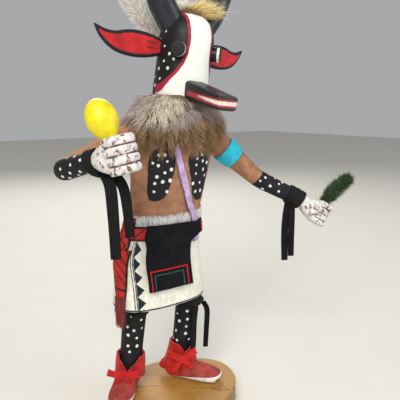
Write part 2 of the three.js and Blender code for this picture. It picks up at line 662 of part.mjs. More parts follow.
/** A bow on the front of a cuff: a knot, two loops and two short tails. */
function makeBow(name, cuff) {
  const { ahead, across, foot: sole } = bowFrame(name);
  const middle = sole.addScaledVector(ahead, BOW[name].out).addScaledVector(UPWARD, BOW[name].height);
  const lump = (sideways, up, size) => reshape(new THREE.SphereGeometry(1, 6, 4), (p) => middle.clone()
    .addScaledVector(across, sideways + p.x * size[0]).addScaledVector(ahead, -p.y * size[1])
    .addScaledVector(UPWARD, up + p.z * size[2]));
  const parts = [lump(0, 0, [3, 2.6, 3])];
  for (const side of [-1, 1]) {
    parts.push(lump(side * 6.2, 1.6, [5.2, 2, 3.2]));
    parts.push(lump(side * 4.2, -4.2, [2.6, 1.6, 4.4]));
  }
  const leg = body(legForm(name), { sides: 12, rings: 4, grow: GAP });
  const foot = body(footForm(name), { sides: 12, rings: 7, grow: GAP });
  return carve(join(parts).subtract(cuff), [leg, foot]);
}

// ---- Assembly -----------------------------------------------------------------------------------------

add("base_slab", makeBase(), 0xa0752f, 0.7);

const figure = carve(makeBody(), [makeHead(GAP)]);
add("figure_body", shell(figure), SKIN);
add("mask_head", makeHead(), BLACK);
for (const [name, side] of [["right", -1], ["left", 1]]) {
  add(`eye_${name}`, shell(makeEye(side)), BLACK);
  add(`ear_${name}`, shell(makeEar(side)), RED);
  add(`horn_${name}`, shell(makeHorn(side)), BLACK);
}
add("muzzle", shell(makeMuzzle()), BLACK);

const grownTorso = body(torso, { sides: 24, rings: 14, grow: GAP });
const arms = {};
for (const [name, frame, size, held] of [
  ["right", rightHand, 1.08, makeRattle(GAP)], ["left", leftHand, 0.95, makeSprig(GAP)]]) {
  const whole = join([body(armForm(name), { sides: 10, rings: 8 }), ...handGeometries(frame, size)]);
  arms[name] = carve(whole, [grownTorso, held]);
  add(`arm_${name}`, shell(arms[name]), SKIN);
}
add("rattle", makeRattle(), YELLOW, 0.4);
add("sprig", makeSprig(), GREEN, 0.9);

add("shoulder_strap", makeStrap(), LILAC, 0.8);
add("waist_fringe", makeFringe(), WHITE, 0.9);
add("belt", makeBelt(), RED, 0.7);
add("apron", patch(torso, 8, 9, apronPlace), BLACK, 0.8);
add("sash", makeSash(), RED, 0.7);

// The turquoise band on the left upper arm and the black wrist wraps with their hanging ties.
const armLeft = armForm("left");
add("armband", band(armLeft, { low: 0.9, high: 1.62, inner: GAP, outer: GAP + 0.9, sides: 16 }), TURQUOISE);
for (const [name, low, high] of [["right", 5.95, 6.5], ["left", 5.45, 6.15]]) {
  const knot = { angle: 180, spread: 1.3, bulge: 3 };
  const wrap = knotted(armForm(name), { low, high, thickness: 1.3, sides: 12, knot });
  add(`wrist_wrap_${name}`, wrap, BLACK, 0.8);
}

// The black knee bands under the hem, and all the leather strips that hang free.
for (const name of ["right", "left"]) {
  const knot = { angle: name === "left" ? 53 : 200, spread: 1.1, bulge: 2.6 };
  const wrap = knotted(legForm(name), { low: 3.12, high: 3.5, thickness: 1.4, sides: 12, knot });
  add(`knee_band_${name}`, wrap, BLACK, 0.5);
}
for (const [name, { route, width, across }] of Object.entries(STRIPS)) {
  add(name, strip(route, width, LEATHER, across, 6), BLACK, 0.8);
}

// The suede boot cuffs, their bows, and the fur and feathers.
for (const name of ["right", "left"]) {
  add(`boot_cuff_${name}`, shell(makeCuff(name)), RED, 0.85);
  const bow = makeBow(name, solid(makeCuffBlank(name, GAP)));
  add(`boot_bow_${name}`, shell(bow), RED, 0.85);
}
const grownArms = ["right", "left"].map((name) => body(armForm(name), { sides: 10, rings: 8, grow: GAP }));
const worn = makeRuff([grownTorso, ...grownArms, makeHead(GAP), makeStrap(GAP)]);
add("fur_ruff", shell(worn.subtract(makeMuzzle(MUZZLE_GAP))), FUR, 0.95);
add("crown_tuft", shell(makeTuft()), 0xb08a4c, 0.95);
for (const [name, { root, tip, bow, width }] of Object.entries(PLUMES)) {
  add(name, feather(root, tip, bow, width), WHITE, 0.9);
}

export default doll;
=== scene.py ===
"""The painted and dressed kachina doll: detailed pieces, materials, light and camera over the CAD frame.

Lengths in the form code are millimetres and become metres when a mesh is made. The figure faces -Y.
"""

import math

import bpy
import numpy as np
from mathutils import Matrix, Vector


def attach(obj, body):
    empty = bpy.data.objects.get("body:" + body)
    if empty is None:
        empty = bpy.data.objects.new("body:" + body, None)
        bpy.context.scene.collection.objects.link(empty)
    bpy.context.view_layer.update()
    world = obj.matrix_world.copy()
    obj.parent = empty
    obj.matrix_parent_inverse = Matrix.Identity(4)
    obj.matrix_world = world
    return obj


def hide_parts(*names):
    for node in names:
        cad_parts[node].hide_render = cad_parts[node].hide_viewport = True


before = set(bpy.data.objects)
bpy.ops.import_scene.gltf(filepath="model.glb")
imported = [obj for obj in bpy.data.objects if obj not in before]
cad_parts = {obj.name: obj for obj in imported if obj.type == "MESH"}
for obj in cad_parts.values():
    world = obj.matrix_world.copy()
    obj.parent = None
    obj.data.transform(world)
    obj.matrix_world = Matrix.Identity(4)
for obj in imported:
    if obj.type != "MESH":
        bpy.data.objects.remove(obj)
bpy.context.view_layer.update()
MM = 0.001
rng = np.random.default_rng(11)

# ---- Camera ------------------------------------------------------------------------------------------

camera = bpy.data.objects.new("camera", bpy.data.cameras.new("camera"))
bpy.context.scene.collection.objects.link(camera)
camera.location = (-0.1813, -0.2737, 0.2201)
camera.rotation_euler = (math.radians(79), 0, math.radians(-36.69))
camera.data.lens = 43.2
camera.data.sensor_width = 36
camera.data.clip_start = 0.01
bpy.context.scene.camera = camera

# ---- Driving dimensions, as in the solids ---------------------------------------------------------------

BASE = dict(half_width=49, half_depth=38, height=14)
FLOOR = BASE["height"] + 0.3
SIDES = ("right", "left")
SPINE = [
    (82, -4.6, 13.8), (100, -5.2, 13.2), (119, -6, 12.6), (135, -2.2, 11.6), (150, 0.2, 10.8), (183, 4.3, 9),
    (205, 6.5, 8), (227, 9.6, 6.6), (282, 17, 3),
]
KILT = dict(hem=82, top=131)
HEAD = dict(z=226.5, height=56, radius=18.6)
MUZZLE = dict(height=4.5, length=35, width=15.5, root=13, tip=9.4, pitch=-10)
EYE = dict(angle=46, height=30, radius=4.9, reach=6)
EAR = dict(height=31.5, length=46, width=17.5, thickness=3, sweep=12)
HORN = dict(radius=8.9, right=-101, left=94)
SHOULDER = dict(right=(-21, 9, 203), left=(33, 5, 200.5))
ELBOW = dict(right=(-76, 7, 182.3), left=(71.5, -7.5, 166.4))
WRIST = dict(right=(-68.5, -20, 189.5), left=(98.5, -26.5, 149.8))
FIST = dict(right=(-62.3, -39.9, 194), left=(109.8, -34.8, 140.2))
RATTLE = dict(middle=(-66.8, -31.8, 212.8), length=25, radius=8.8, neck=2.6)
SPRIG = dict(tip=(133.5, -46.5, 166), radius=6.4)
LEG = dict(radius=8.3, right=(-28.7, 21), left=(10.4, 11.6))
LEG_RUN = dict(right=0.12, left=0.15)
FOOT = dict(right=(-43, 30), left=(38, 32))


def track(rows):
    """A smooth curve through rows of numbers; the first column is the place along it."""
    rows = np.array(rows, float)
    x = rows[:, 0]
    n = len(x)
    before = np.maximum(np.arange(n) - 1, 0)
    after = np.minimum(np.arange(n) + 1, n - 1)
    slope = (rows[after] - rows[before]) / (x[after] - x[before])[:, None]

    def at(s):
        s = np.asarray(s, float)
        i = np.clip(np.searchsorted(x, s, side="right") - 1, 0, n - 2)
        h = (x[i + 1] - x[i])[..., None]
        t = np.clip((s - x[i])[..., None] / h, 0, 1)
        t2, t3 = t * t, t * t * t
        return ((2 * t3 - 3 * t2 + 1) * rows[i] + (t3 - 2 * t2 + t) * slope[i] * h
                + (3 * t2 - 2 * t3) * rows[i + 1] + (t3 - t2) * slope[i + 1] * h)
    return at


def unit(v):
    """The same direction with length 1."""
    v = np.asarray(v, float)
    return v / np.linalg.norm(v, axis=-1, keepdims=True)


def level(deg):
    """The level direction that many degrees from the front, counted towards the figure's left."""
    a = math.radians(deg)
    return np.array([math.sin(a), -math.cos(a), 0])


class Upright:
    """Level sections along a leaning axis. Rows are (height, half width, half depth, power)."""

    def __init__(self, axis, rows):
        self.axis, self.size, self.start, self.end = axis, track(rows), rows[0][0], rows[-1][0]

    def at(self, s):
        """The centre, the two axes, the two half sizes and the power of the sections at s."""
        s = np.asarray(s, float)
        k = self.size(s)
        u = np.broadcast_to(np.array([1.0, 0, 0]), s.shape + (3,))
        v = np.broadcast_to(np.array([0, -1.0, 0]), s.shape + (3,))
        return self.axis(s), u, v, k[..., 1], k[..., 2], k[..., 3]


class Limb:
    """Sections square to a curved centre line. Rows are (x, y, z, half width, half depth, power)."""

    def __init__(self, rows, facing):
        self.values = track([(i, *r) for i, r in enumerate(rows)])
        self.facing, self.start, self.end = np.array(facing, float), 0, len(rows) - 1

    def at(self, s):
        """The centre, the two axes, the two half sizes and the power of the sections at s."""
        s = np.asarray(s, float)
        k = self.values(s)
        ahead = unit(self.values(np.minimum(s + 0.02, self.end))[..., 1:4]
                     - self.values(np.maximum(s - 0.02, 0))[..., 1:4])
        v = unit(self.facing - ahead * (ahead @ self.facing)[..., None])
        return k[..., 1:4], np.cross(ahead, v), v, k[..., 4], k[..., 5], k[..., 6]


def rod(rows, facing, power=2):
    """A limb as wide as it is deep. Rows are (centre, radius)."""
    return Limb([(*centre, radius, radius, power) for centre, radius in rows], facing)


def skin(form, s, angle, offset=0.0, share=1.0):
    """Points of a form at places s and angles, lifted off it by offset or drawn in to a share of it."""
    s, angle = np.broadcast_arrays(np.asarray(s, float), np.asarray(angle, float))
    c, u, v, a, b, power = form.at(s)

    def rounded(w):
        return np.sign(w) * np.abs(w) ** (2 / power)
    return (c + u * (share * (a + offset) * rounded(np.sin(angle)))[..., None]
            + v * (share * (b + offset) * rounded(np.cos(angle)))[..., None])


spine_at = track(SPINE)


def axis(z):
    """The middle of the body at heights z."""
    k = spine_at(z)
    return np.stack([k[..., 1], k[..., 2], np.broadcast_to(np.asarray(z, float), k[..., 1].shape)], -1)


TORSO = Upright(axis, [
    (82, 35.2, 20.4, 2.6), (100, 33.7, 20, 2.6), (119, 32.2, 19.2, 2.6), (128, 30.9, 18.2, 2.5),
    (135, 29.4, 17.2, 2.4), (141, 27.8, 16.4, 2.3), (150, 27.4, 16.2, 2.3), (166, 28.8, 16.6, 2.3),
    (184, 30.8, 17.4, 2.3), (198, 30.8, 17, 2.3), (209, 25.5, 15.2, 2.2), (216, 17, 12.5, 2.1),
    (221, 10, 10, 2), (227.4, 9, 9, 2),
])
FRONT = np.array([0, -1.0, 0])
UP = np.array([0, 0, 1.0])


def leg_at(name, z):
    """The middle of a leg at height z."""
    x, y = LEG[name]
    return np.array([x + LEG_RUN[name] * (z - FLOOR), y, z])


def leg_form(name):
    rows = [(20, 7.6), (34, 8), (52, LEG["radius"]), (70, LEG["radius"] + 0.5), (88, LEG["radius"] + 0.6)]
    return rod([(leg_at(name, z), r) for z, r in rows], FRONT)


HEAD_FOOT = axis(HEAD["z"])
HEAD_UP = unit(axis(HEAD["z"] + HEAD["height"]) - HEAD_FOOT)
HEAD_ACROSS = unit(np.cross(HEAD_UP, FRONT))
HEAD_AHEAD = unit(np.cross(HEAD_ACROSS, HEAD_UP))
FACE_UP = unit([0.07, -0.06, 1])


def on_head(h):
    """The point of the head's axis at height h over its foot."""
    return HEAD_FOOT + HEAD_UP * h


def head_form():
    top = HEAD["height"]
    rows = [(0, 0.965), (1.5, 1), (20, 1), (top - 19, 1), (top - 12, 0.93), (top - 6, 0.76), (top - 2, 0.48),
            (top, 0.12)]
    return rod([(on_head(h), HEAD["radius"] * k) for h, k in rows], FRONT)


def arm_form(name):
    shoulder, elbow, wrist, fist = (np.array(k[name], float) for k in (SHOULDER, ELBOW, WRIST, FIST))

    def between(p, q, t):
        return p + (q - p) * t
    upper = [(between(shoulder, elbow, t), r) for t, r in ((-0.05, 9), (0.3, 8.8), (0.65, 7.4), (0.92, 6.6))]
    lower = [(between(elbow, wrist, t), r) for t, r in ((0.12, 6.6), (0.5, 6.3), (1, 5.7))]
    return rod([*upper, *lower, (between(wrist, fist, 0.55), 5.5)], UP, 2.1)


def foot_form(name):
    x, y = LEG[name]
    facing, reach = FOOT[name]
    ahead = level(facing)
    rows = [(-10.5, 9, 2.5), (-9.4, 13, 5.6), (-4, 16, 7.6), (4, 15.6, 8.2), (12, 12, 8.6),
            (reach - 12, 9.8, 9), (reach - 5, 8.4, 8.2), (reach - 1, 7.2, 6.4), (reach, 6, 4)]
    return Limb([(x + ahead[0] * s, y + ahead[1] * s, FLOOR + h / 2, w, h / 2, 2.8) for s, h, w in rows], UP)


# ---- Meshes ---------------------------------------------------------------------------------------------


def mesh_object(name, points, faces, marks=None, smooth=True):
    """A piece from points in millimetres; marks are numbers for each point that the paint reads."""
    data = bpy.data.meshes.new(name)
    data.from_pydata((np.asarray(points) * MM).tolist(), [], faces)
    data.update()
    for key, values in (marks or {}).items():
        layer = data.attributes.new(key, "FLOAT", "POINT")
        layer.data.foreach_set("value", np.asarray(values, np.float32).ravel())
    if smooth:
        data.polygons.foreach_set("use_smooth", [True] * len(data.polygons))
    piece = bpy.data.objects.new(name, data)
    bpy.context.scene.collection.objects.link(piece)
    return piece


def grid_faces(ni, nj, close=False):
    """Quads of a grid of ni rows of nj points; close joins the last column to the first."""
    i, j = np.meshgrid(np.arange(ni - 1), np.arange(nj if close else nj - 1), indexing="ij")
    k = (j + 1) % nj
    quads = np.stack([i * nj + j, i * nj + k, (i + 1) * nj + k, (i + 1) * nj + j], -1)
    return quads.reshape(-1, 4).tolist()


def tube(name, P, marks=None):
    """A closed form from rings of points P[row, column], with its two ends fanned shut."""
    ni, nj = P.shape[:2]
    points = np.concatenate([P.reshape(-1, 3), P[:1].mean(1), P[-1:].mean(1)])
    a, b = ni * nj, ni * nj + 1
    faces = grid_faces(ni, nj, close=True)
    faces += [[a, (j + 1) % nj, j] for j in range(nj)]
    faces += [[b, (ni - 1) * nj + j, (ni - 1) * nj + (j + 1) % nj] for j in range(nj)]
    full = {}
    for key, values in (marks or {}).items():
        v = np.asarray(values, float)
        full[key] = np.concatenate([v.ravel(), [v[0].mean()], [v[-1].mean()]])
    return mesh_object(name, points, faces, full)


def turn(columns):
    """Even angles once round a form."""
    return np.linspace(0, 2 * math.pi, columns, endpoint=False)


def rings(form, rows, columns, start=None):
    """The places, angles and points of an even grid over a form."""
    s = np.linspace(form.start if start is None else start, form.end, rows)
    S, A = np.meshgrid(s, turn(columns), indexing="ij")
    return S, A, skin(form, S, A)


FAR = 99.0  # a mark's value well outside what it paints


def signed(angle):
    """The same angle between minus pi and pi."""
    return (angle + math.pi) % (2 * math.pi) - math.pi


def edge_rise(t, margin):
    """0 at both edges of a strip that t crosses from 0 to 1, rising to 1 a margin inside them."""
    return np.clip(np.minimum(t, 1 - t) / margin, 0, 1)


def inside(t, width):
    """How far t is from the nearer edge of a strip of that width."""
    return np.minimum(t, 1 - t) * width


def hatch(u, v, pitch, slope, width):
    """Distance outside slanting strokes, in millimetres."""
    w = (u + slope * v) / pitch
    return np.abs(w - np.round(w)) * pitch - width


def dots_on(form, places):
    """The centres of dots on a form from (place, degrees)."""
    return [skin(form, s, math.radians(deg)) for s, deg in places]


def spots(P, centres, radius):
    """How far points are outside the nearest of some round spots."""
    best = np.full(P.shape[:-1], FAR)
    for k, c in enumerate(centres):
        r = radius * (0.8 + 0.4 * ((k * 0.37) % 1))
        best = np.minimum(best, np.linalg.norm(P - c, axis=-1) - r)
    return best


def sheet_mesh(name, place, nu, nv, marks=None):
    """A closed thin sheet. place(u, v, depth) gives points for u, v and depth in 0..1."""
    u, v = np.meshgrid(np.linspace(0, 1, nu), np.linspace(0, 1, nv), indexing="ij")
    low, high = place(u, v, 0.0), place(u, v, 1.0)
    n = nu * nv
    points = np.concatenate([high.reshape(-1, 3), low.reshape(-1, 3)])
    top = np.array(grid_faces(nu, nv))
    faces = top.tolist() + (top[:, ::-1] + n).tolist()
    index = np.arange(n).reshape(nu, nv)
    rim = np.concatenate([index[:, 0], index[-1, 1:], index[-2::-1, -1], index[0, -2:0:-1]])
    for p, q in zip(rim, np.roll(rim, -1)):
        faces.append([int(q), int(p), int(p) + n, int(q) + n])
    full = {key: np.concatenate([np.asarray(f(u, v)).ravel()] * 2) for key, f in (marks or {}).items()}
    return mesh_object(name, points, faces, full)


def band_mesh(name, form, low, high, inner, outer, columns=220, rows=14, marks=None):
    """A band round a form from low to high. inner and outer are heights, or functions of share and angle."""
    T, A = np.meshgrid(np.linspace(0, 1, rows), turn(columns), indexing="ij")
    S = low + (high - low) * T
    out, inside = (skin(form, S, A, k(T, A) if callable(k) else k) for k in (outer, inner))
    P = np.concatenate([out, inside[::-1]])
    ni = len(P)
    faces = grid_faces(ni, columns, close=True)
    faces += [[(ni - 1) * columns + j, (ni - 1) * columns + (j + 1) % columns, (j + 1) % columns, j]
              for j in range(columns)]
    full = {}
    for key, f in (marks or {}).items():
        v = f(S, A)
        full[key] = np.concatenate([v, v[::-1]]).ravel()
    return mesh_object(name, P.reshape(-1, 3), faces, full)


def curve_points(points, n):
    """n even points on a smooth line through a few points."""
    rows = track([(i, *p) for i, p in enumerate(points)])
    fine = rows(np.linspace(0, len(points) - 1, 400))[:, 1:]
    run = np.concatenate([[0], np.cumsum(np.linalg.norm(np.diff(fine, axis=0), axis=1))])
    even = np.linspace(0, run[-1], n)
    return np.stack([np.interp(even, run, fine[:, k]) for k in range(3)], -1), run[-1]


def ribbon(points, width, thickness, across, n, taper=1.0, curl=0.0, wave=0.0):
    """Rings of a flat strip of leather with softly rounded edges, with its middle line and length."""
    line, length = curve_points(points, n)
    ahead = unit(np.gradient(line, axis=0))
    side = np.array(across, float)
    side = unit(side - ahead * (ahead @ side)[:, None])
    out = np.cross(ahead, side)
    t = np.linspace(0, 1, n)[:, None]
    half = width / 2 * (1 - (1 - taper) * t)
    section = [(-1, 0), (-0.94, 0.42), (-0.6, 0.5), (0, 0.5), (0.6, 0.5), (0.94, 0.42),
               (1, 0), (0.94, -0.42), (0.6, -0.5), (0, -0.5), (-0.6, -0.5), (-0.94, -0.42)]
    P = np.stack([line + side * (half * a) + out * (thickness * b + curl * (a * a - 0.4)
                                                     + wave * np.sin(9 * t + 2 * a))
                  for a, b in section], 1)
    return P, line, length


def join_pieces(name, pieces):
    """One object out of several, which keeps the first one's place in the scene."""
    bpy.ops.object.select_all(action="DESELECT")
    for p in pieces:
        p.select_set(True)
    bpy.context.view_layer.objects.active = pieces[0]
    if len(pieces) > 1:
        bpy.ops.object.join()
    pieces[0].name = name
    return pieces[0]


def merge_smooth(piece, voxel, rounds):
    """Fuses overlapping forms into one carved surface and softens its creases."""
    mod = piece.modifiers.new("fuse", "REMESH")
    mod.mode, mod.voxel_size, mod.use_smooth_shade = "VOXEL", voxel * MM, True
    soft = piece.modifiers.new("soften", "SMOOTH")
    soft.factor, soft.iterations = 0.5, rounds
    done = bpy.data.meshes.new_from_object(piece.evaluated_get(bpy.context.evaluated_depsgraph_get()))
    piece.modifiers.clear()
    piece.data = done
    done.polygons.foreach_set("use_smooth", [True] * len(done.polygons))
    return piece


def mark(piece, **marks):
    """Adds marks to the points of a piece that is already made."""
    for key, values in marks.items():
        layer = piece.data.attributes.new(key, "FLOAT", "POINT")
        layer.data.foreach_set("value", np.asarray(values, np.float32).ravel())


def points_of(piece):
    """The points of a piece in millimetres."""
    co = np.zeros(len(piece.data.vertices) * 3)
    piece.data.vertices.foreach_get("co", co)
    return co.reshape(-1, 3) / MM


def strands(name, roots, ways, lengths, widths, bend, steps=3, tint=None):
    """Many thin tapering blades, each from its root along its way, bending over."""
    n = len(roots)
    ways = unit(ways)
    side = unit(np.cross(ways, rng.normal(size=(n, 3))))
    t = np.linspace(0, 1, steps + 1)
    L = np.asarray(lengths)[:, None]
    spine = roots[:, None] + ways[:, None] * (L * t)[..., None] + bend[:, None] * (L * t * t)[..., None]
    half = (np.asarray(widths)[:, None] / 2 * (1 - 0.85 * t))[..., None] * side[:, None]
    P = np.stack([spine - half, spine + half], 2).reshape(-1, 3)
    a = np.arange(n)[:, None] * 2 * (steps + 1) + np.arange(steps)[None] * 2
    faces = np.stack([a, a + 1, a + 3, a + 2], -1).reshape(-1, 4).tolist()
    marks = {"strand": np.repeat(rng.random(n), 2 * (steps + 1)), "along": np.tile(np.repeat(t, 2), n)}
    if tint is not None:
        marks["tint"] = np.repeat(tint, 2 * (steps + 1))
    return mesh_object(name, P, faces, marks, smooth=False)


# ---- Materials ------------------------------------------------------------------------------------------


class Paint:
    """A material made of nodes only, with short ways to add noise, ramps, mixes and grain to it."""

    def __init__(self, name):
        self.material = bpy.data.materials.new(name)
        self.material.use_nodes = True
        self.tree = self.material.node_tree
        self.shader = self.tree.nodes["Principled BSDF"]
        self.where = self.add("ShaderNodeTexCoord").outputs["Object"]

    def add(self, kind, **values):
        n = self.tree.nodes.new(kind)
        for key, v in values.items():
            setattr(n, key, v)
        return n

    def link(self, a, b):
        self.tree.links.new(a, b)

    def noise(self, size, detail=3.0, rough=0.55, stretch=None):
        """Noise whose blotches are about size millimetres across."""
        where = self.where
        if stretch is not None:
            m = self.add("ShaderNodeMapping")
            m.inputs["Scale"].default_value = stretch
            self.link(where, m.inputs["Vector"])
            where = m.outputs["Vector"]
        n = self.add("ShaderNodeTexNoise")
        n.inputs["Scale"].default_value = 1000 / size
        n.inputs["Detail"].default_value = detail
        n.inputs["Roughness"].default_value = rough
        self.link(where, n.inputs["Vector"])
        return n.outputs["Fac"]

    def waver(self, size, amount):
        """Noise around zero that makes a painted edge uneven by about that many millimetres."""
        return self.math("MULTIPLY", self.math("SUBTRACT", self.noise(size, 2), 0.5), amount * 2)

    def math(self, kind, a, b):
        n = self.add("ShaderNodeMath", operation=kind)
        for socket, v in zip(n.inputs, (a, b)):
            if isinstance(v, (int, float)):
                socket.default_value = v
            else:
                self.link(v, socket)
        return n.outputs[0]

    def ramp(self, value, low, high, out_low=0.0, out_high=1.0):
        n = self.add("ShaderNodeMapRange")
        n.inputs["From Min"].default_value = low
        n.inputs["From Max"].default_value = high
        n.inputs["To Min"].default_value = out_low
        n.inputs["To Max"].default_value = out_high
        self.link(value, n.inputs["Value"])
        return n.outputs["Result"]

    def attribute(self, name):
        return self.add("ShaderNodeAttribute", attribute_name=name).outputs["Fac"]

    def mix(self, share, a, b, kind="MIX"):
        n = self.add("ShaderNodeMixRGB", blend_type=kind)
        for socket, v in zip(n.inputs, (share, a, b)):
            if isinstance(v, (int, float)):
                socket.default_value = v
            elif isinstance(v, tuple):
                socket.default_value = (*v, 1)
            else:
                self.link(v, socket)
        return n.outputs["Color"]

    def bump(self, heights, strength=0.5):
        """Adds up (value, height in mm) into the surface grain."""
        total = None
        for value, height in heights:
            h = self.math("MULTIPLY", value, height * MM)
            total = h if total is None else self.math("ADD", total, h)
        n = self.add("ShaderNodeBump")
        n.inputs["Strength"].default_value = strength
        n.inputs["Distance"].default_value = 1.0
        self.link(total, n.inputs["Height"])
        self.link(n.outputs["Normal"], self.shader.inputs["Normal"])


BRUSH_STRETCH = (1, 1, 0.35)


def shades(colour, spread):
    """A darker and a lighter version of a colour."""
    return tuple(c * (1 - spread) for c in colour), tuple(min(1, c * (1 + spread)) for c in colour)


def painted(name, base, layers=(), rough=0.62, mottle=0.16, blotch=7.0, wobble=0.5, grain=0.06, wear=None,
            spec=0.22):
    """Matt paint on wood.

    Layers are (mark, colour). A mark is negative where its colour shows, and is a name or a function of the
    paint. wear is (colour, noise that starts it, noise that fills it, mark that it keeps to, or None).
    """
    p = Paint(name)
    fine, broad = p.noise(1.6, 4), p.noise(blotch, 3)
    brush = p.noise(2.6, 3, 0.6, BRUSH_STRETCH)
    colour = p.mix(p.ramp(broad, 0.35, 0.65), *shades(base, mottle))
    edge = p.waver(2.2, wobble)
    for key, shade in layers:
        value = p.math("ADD", key(p) if callable(key) else p.attribute(key), edge)
        shaded = p.mix(p.ramp(brush, 0.3, 0.7), *shades(shade, mottle * 0.8))
        colour = p.mix(p.ramp(value, 0.18, -0.18), colour, shaded)
    dirt = p.ramp(p.math("MULTIPLY", fine, broad), 0.12, 0.34, 0.72, 1.0)
    colour = p.mix(1.0, colour, p.mix(dirt, (0.62, 0.56, 0.5), (1.0, 1.0, 1.0)), "MULTIPLY")
    if wear:
        shade, low, high, key = wear
        worn = p.ramp(p.noise(3.2, 5, 0.7), low, high)
        if key:
            worn = p.math("MULTIPLY", worn, p.ramp(p.attribute(key), 0, 1, 1, 0))
        colour = p.mix(worn, colour, shade)
    p.link(colour, p.shader.inputs["Base Color"])
    p.link(p.ramp(brush, 0.3, 0.7, rough - 0.08, min(1, rough + 0.1)), p.shader.inputs["Roughness"])
    p.shader.inputs["Specular IOR Level"].default_value = spec
    p.bump([(fine, grain), (brush, grain * 1.6)], 0.7)
    return p.material


def leather(name, base, layers=(), rough=0.6, sheen=0.0, grain=0.09, wobble=0.4, mottle=0.22, worn=0.0,
            spec=0.2):
    """Hide with a pebbled grain, soft blotches and scuffed high spots."""
    p = Paint(name)
    cells = p.add("ShaderNodeTexVoronoi")
    cells.inputs["Scale"].default_value = 1000 / 0.9
    p.link(p.where, cells.inputs["Vector"])
    broad, fine = p.noise(6, 4), p.noise(1.1, 3)
    colour = p.mix(p.ramp(broad, 0.35, 0.65), *shades(base, mottle))
    edge = p.waver(1.8, wobble)
    for key, shade in layers:
        value = p.math("ADD", p.attribute(key), edge)
        colour = p.mix(p.ramp(value, 0.2, -0.2), colour, shade)
    scuff = p.ramp(p.noise(2.4, 5, 0.7), 0.6, 0.75, 0, worn)
    colour = p.mix(scuff, colour, tuple(min(1, c * 0.5 + 0.2) for c in base))
    p.link(colour, p.shader.inputs["Base Color"])
    p.link(p.ramp(fine, 0.3, 0.7, rough - 0.1, min(1, rough + 0.12)), p.shader.inputs["Roughness"])
    p.shader.inputs["Specular IOR Level"].default_value = spec
    p.shader.inputs["Sheen Weight"].default_value = sheen
    p.bump([(cells.outputs["Distance"], grain), (broad, 0.2)], 0.6)
    return p.material


def hair(name, colours, tint="strand", rough=0.75, sheen=0.25, root_shade=0.45):
    """Fur or down: the mark tint chooses each strand's colour, which is darkened towards its root as painted
    shade among the strands.
    """
    p = Paint(name)
    ramp = p.add("ShaderNodeValToRGB")
    stops = ramp.color_ramp.elements
    while len(stops) < len(colours):
        stops.new(0.5)
    for k, shade in enumerate(colours):
        stops[k].position = k / (len(colours) - 1)
        stops[k].color = (*shade, 1)
    p.link(p.attribute(tint), ramp.inputs["Fac"])
    light = p.mix(p.ramp(p.attribute("strand"), 0, 1), (0.78, 0.78, 0.78), (1.12, 1.1, 1.08))
    colour = p.mix(1.0, ramp.outputs["Color"], light, "MULTIPLY")
    # Painted shade: each strand is darker towards its root, where the strands crowd together.
    root = p.ramp(p.attribute("along"), 0, 0.55, root_shade, 1)
    colour = p.mix(1.0, colour, p.mix(root, (0.1, 0.09, 0.08), (1.0, 1.0, 1.0)), "MULTIPLY")
    p.link(colour, p.shader.inputs["Base Color"])
    p.shader.inputs["Roughness"].default_value = rough
    p.shader.inputs["Sheen Weight"].default_value = sheen
    return p.material


def finish_piece(piece, material, slot, *nodes):
    """Gives a piece its material, and lets it stand for nodes of the solids. The slot is not used."""
    piece.data.materials.clear()
    piece.data.materials.append(material)
    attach(piece, "root")
    if nodes:
        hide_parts(*nodes)
    return piece


TAN, WHITE, BLACK = (0.335, 0.165, 0.092), (0.80, 0.80, 0.77), (0.010, 0.010, 0.011)
SOFT_BLACK = (0.011, 0.011, 0.015)
CRIMSON, BLUE_BLACK = (0.33, 0.018, 0.045), (0.010, 0.018, 0.032)

# ---- The carved body: kilt, chest and neck ----------------------------------------------------------------


def kilt_border(p):
    """Two lines and a column of teeth down the kilt's right front, and the line along its hem."""
    run, rise = p.attribute("run"), p.attribute("rise")

    def line(value, place, half):
        return p.math("SUBTRACT", p.math("ABSOLUTE", p.math("SUBTRACT", value, place), 0), half)
    saw = p.math("PINGPONG", p.math("SUBTRACT", rise, 83.5), 4.7)
    tooth = p.math("SUBTRACT", p.math("SUBTRACT", run, 3.2), p.math("MULTIPLY", saw, 1.12))
    tooth = p.math("MAXIMUM", tooth, p.math("SUBTRACT", 2.5, run))
    marks = p.math("MINIMUM", p.math("MINIMUM", line(run, 0, 0.42), line(run, 1.9, 0.42)), tooth)
    marks = p.math("MINIMUM", marks, line(rise, KILT["hem"] + 0.8, 0.5))
    return p.math("MAXIMUM", marks, p.attribute("kilt"))


MM_PER_DEGREE = 27.0 / 57.3  # about how far a degree runs round the kilt
# The dark patches: height and half height, degrees and half width in degrees, and lean.
PATCHES = ((176.2, 17.6, -34, 20.5, 0.12), (173.8, 18.2, 29, 21, -0.55),
           (174, 17, 145, 17, 0.2), (174, 17, -145, 17, -0.2))
# Dots on the body as (height, degrees).
CHEST_DOTS = [
    (183.7, -46), (189, -37), (189, -28), (184.5, -24), (182, -37), (179, -17), (177, -26), (174.5, -38),
    (171.5, -17), (170, -41), (171, -28), (164.5, -41), (164, -20),
    (187.5, 24), (185, 16), (183, 28), (181.4, 40), (180.6, 16), (176.8, 33), (174.5, 18), (172.3, 42),
    (167.7, 16), (167.7, 31), (161.6, 24), (161.6, 38),
]
BACK_DOTS = [(z, sign * deg) for sign in (1, -1)
             for z, deg in ((184, 141), (180, 151), (174, 142), (170, 152), (164, 144))]


def torso_patch(z, deg):
    """Negative inside the two patches on the chest and sides and the two plainer ones on the back."""
    patch = np.full(z.shape, FAR)
    for middle, tall, facing, wide, lean in PATCHES:
        off = (deg - facing - lean * (z - middle)) / wide
        r = (np.abs((z - middle) / tall) ** 3 + np.abs(off) ** 3) ** (1 / 3)
        r = r + 0.05 * np.sin(3 * np.arctan2(z - middle, off * 10) + facing)
        patch = np.minimum(patch, (r - 1) * 8)
    return patch


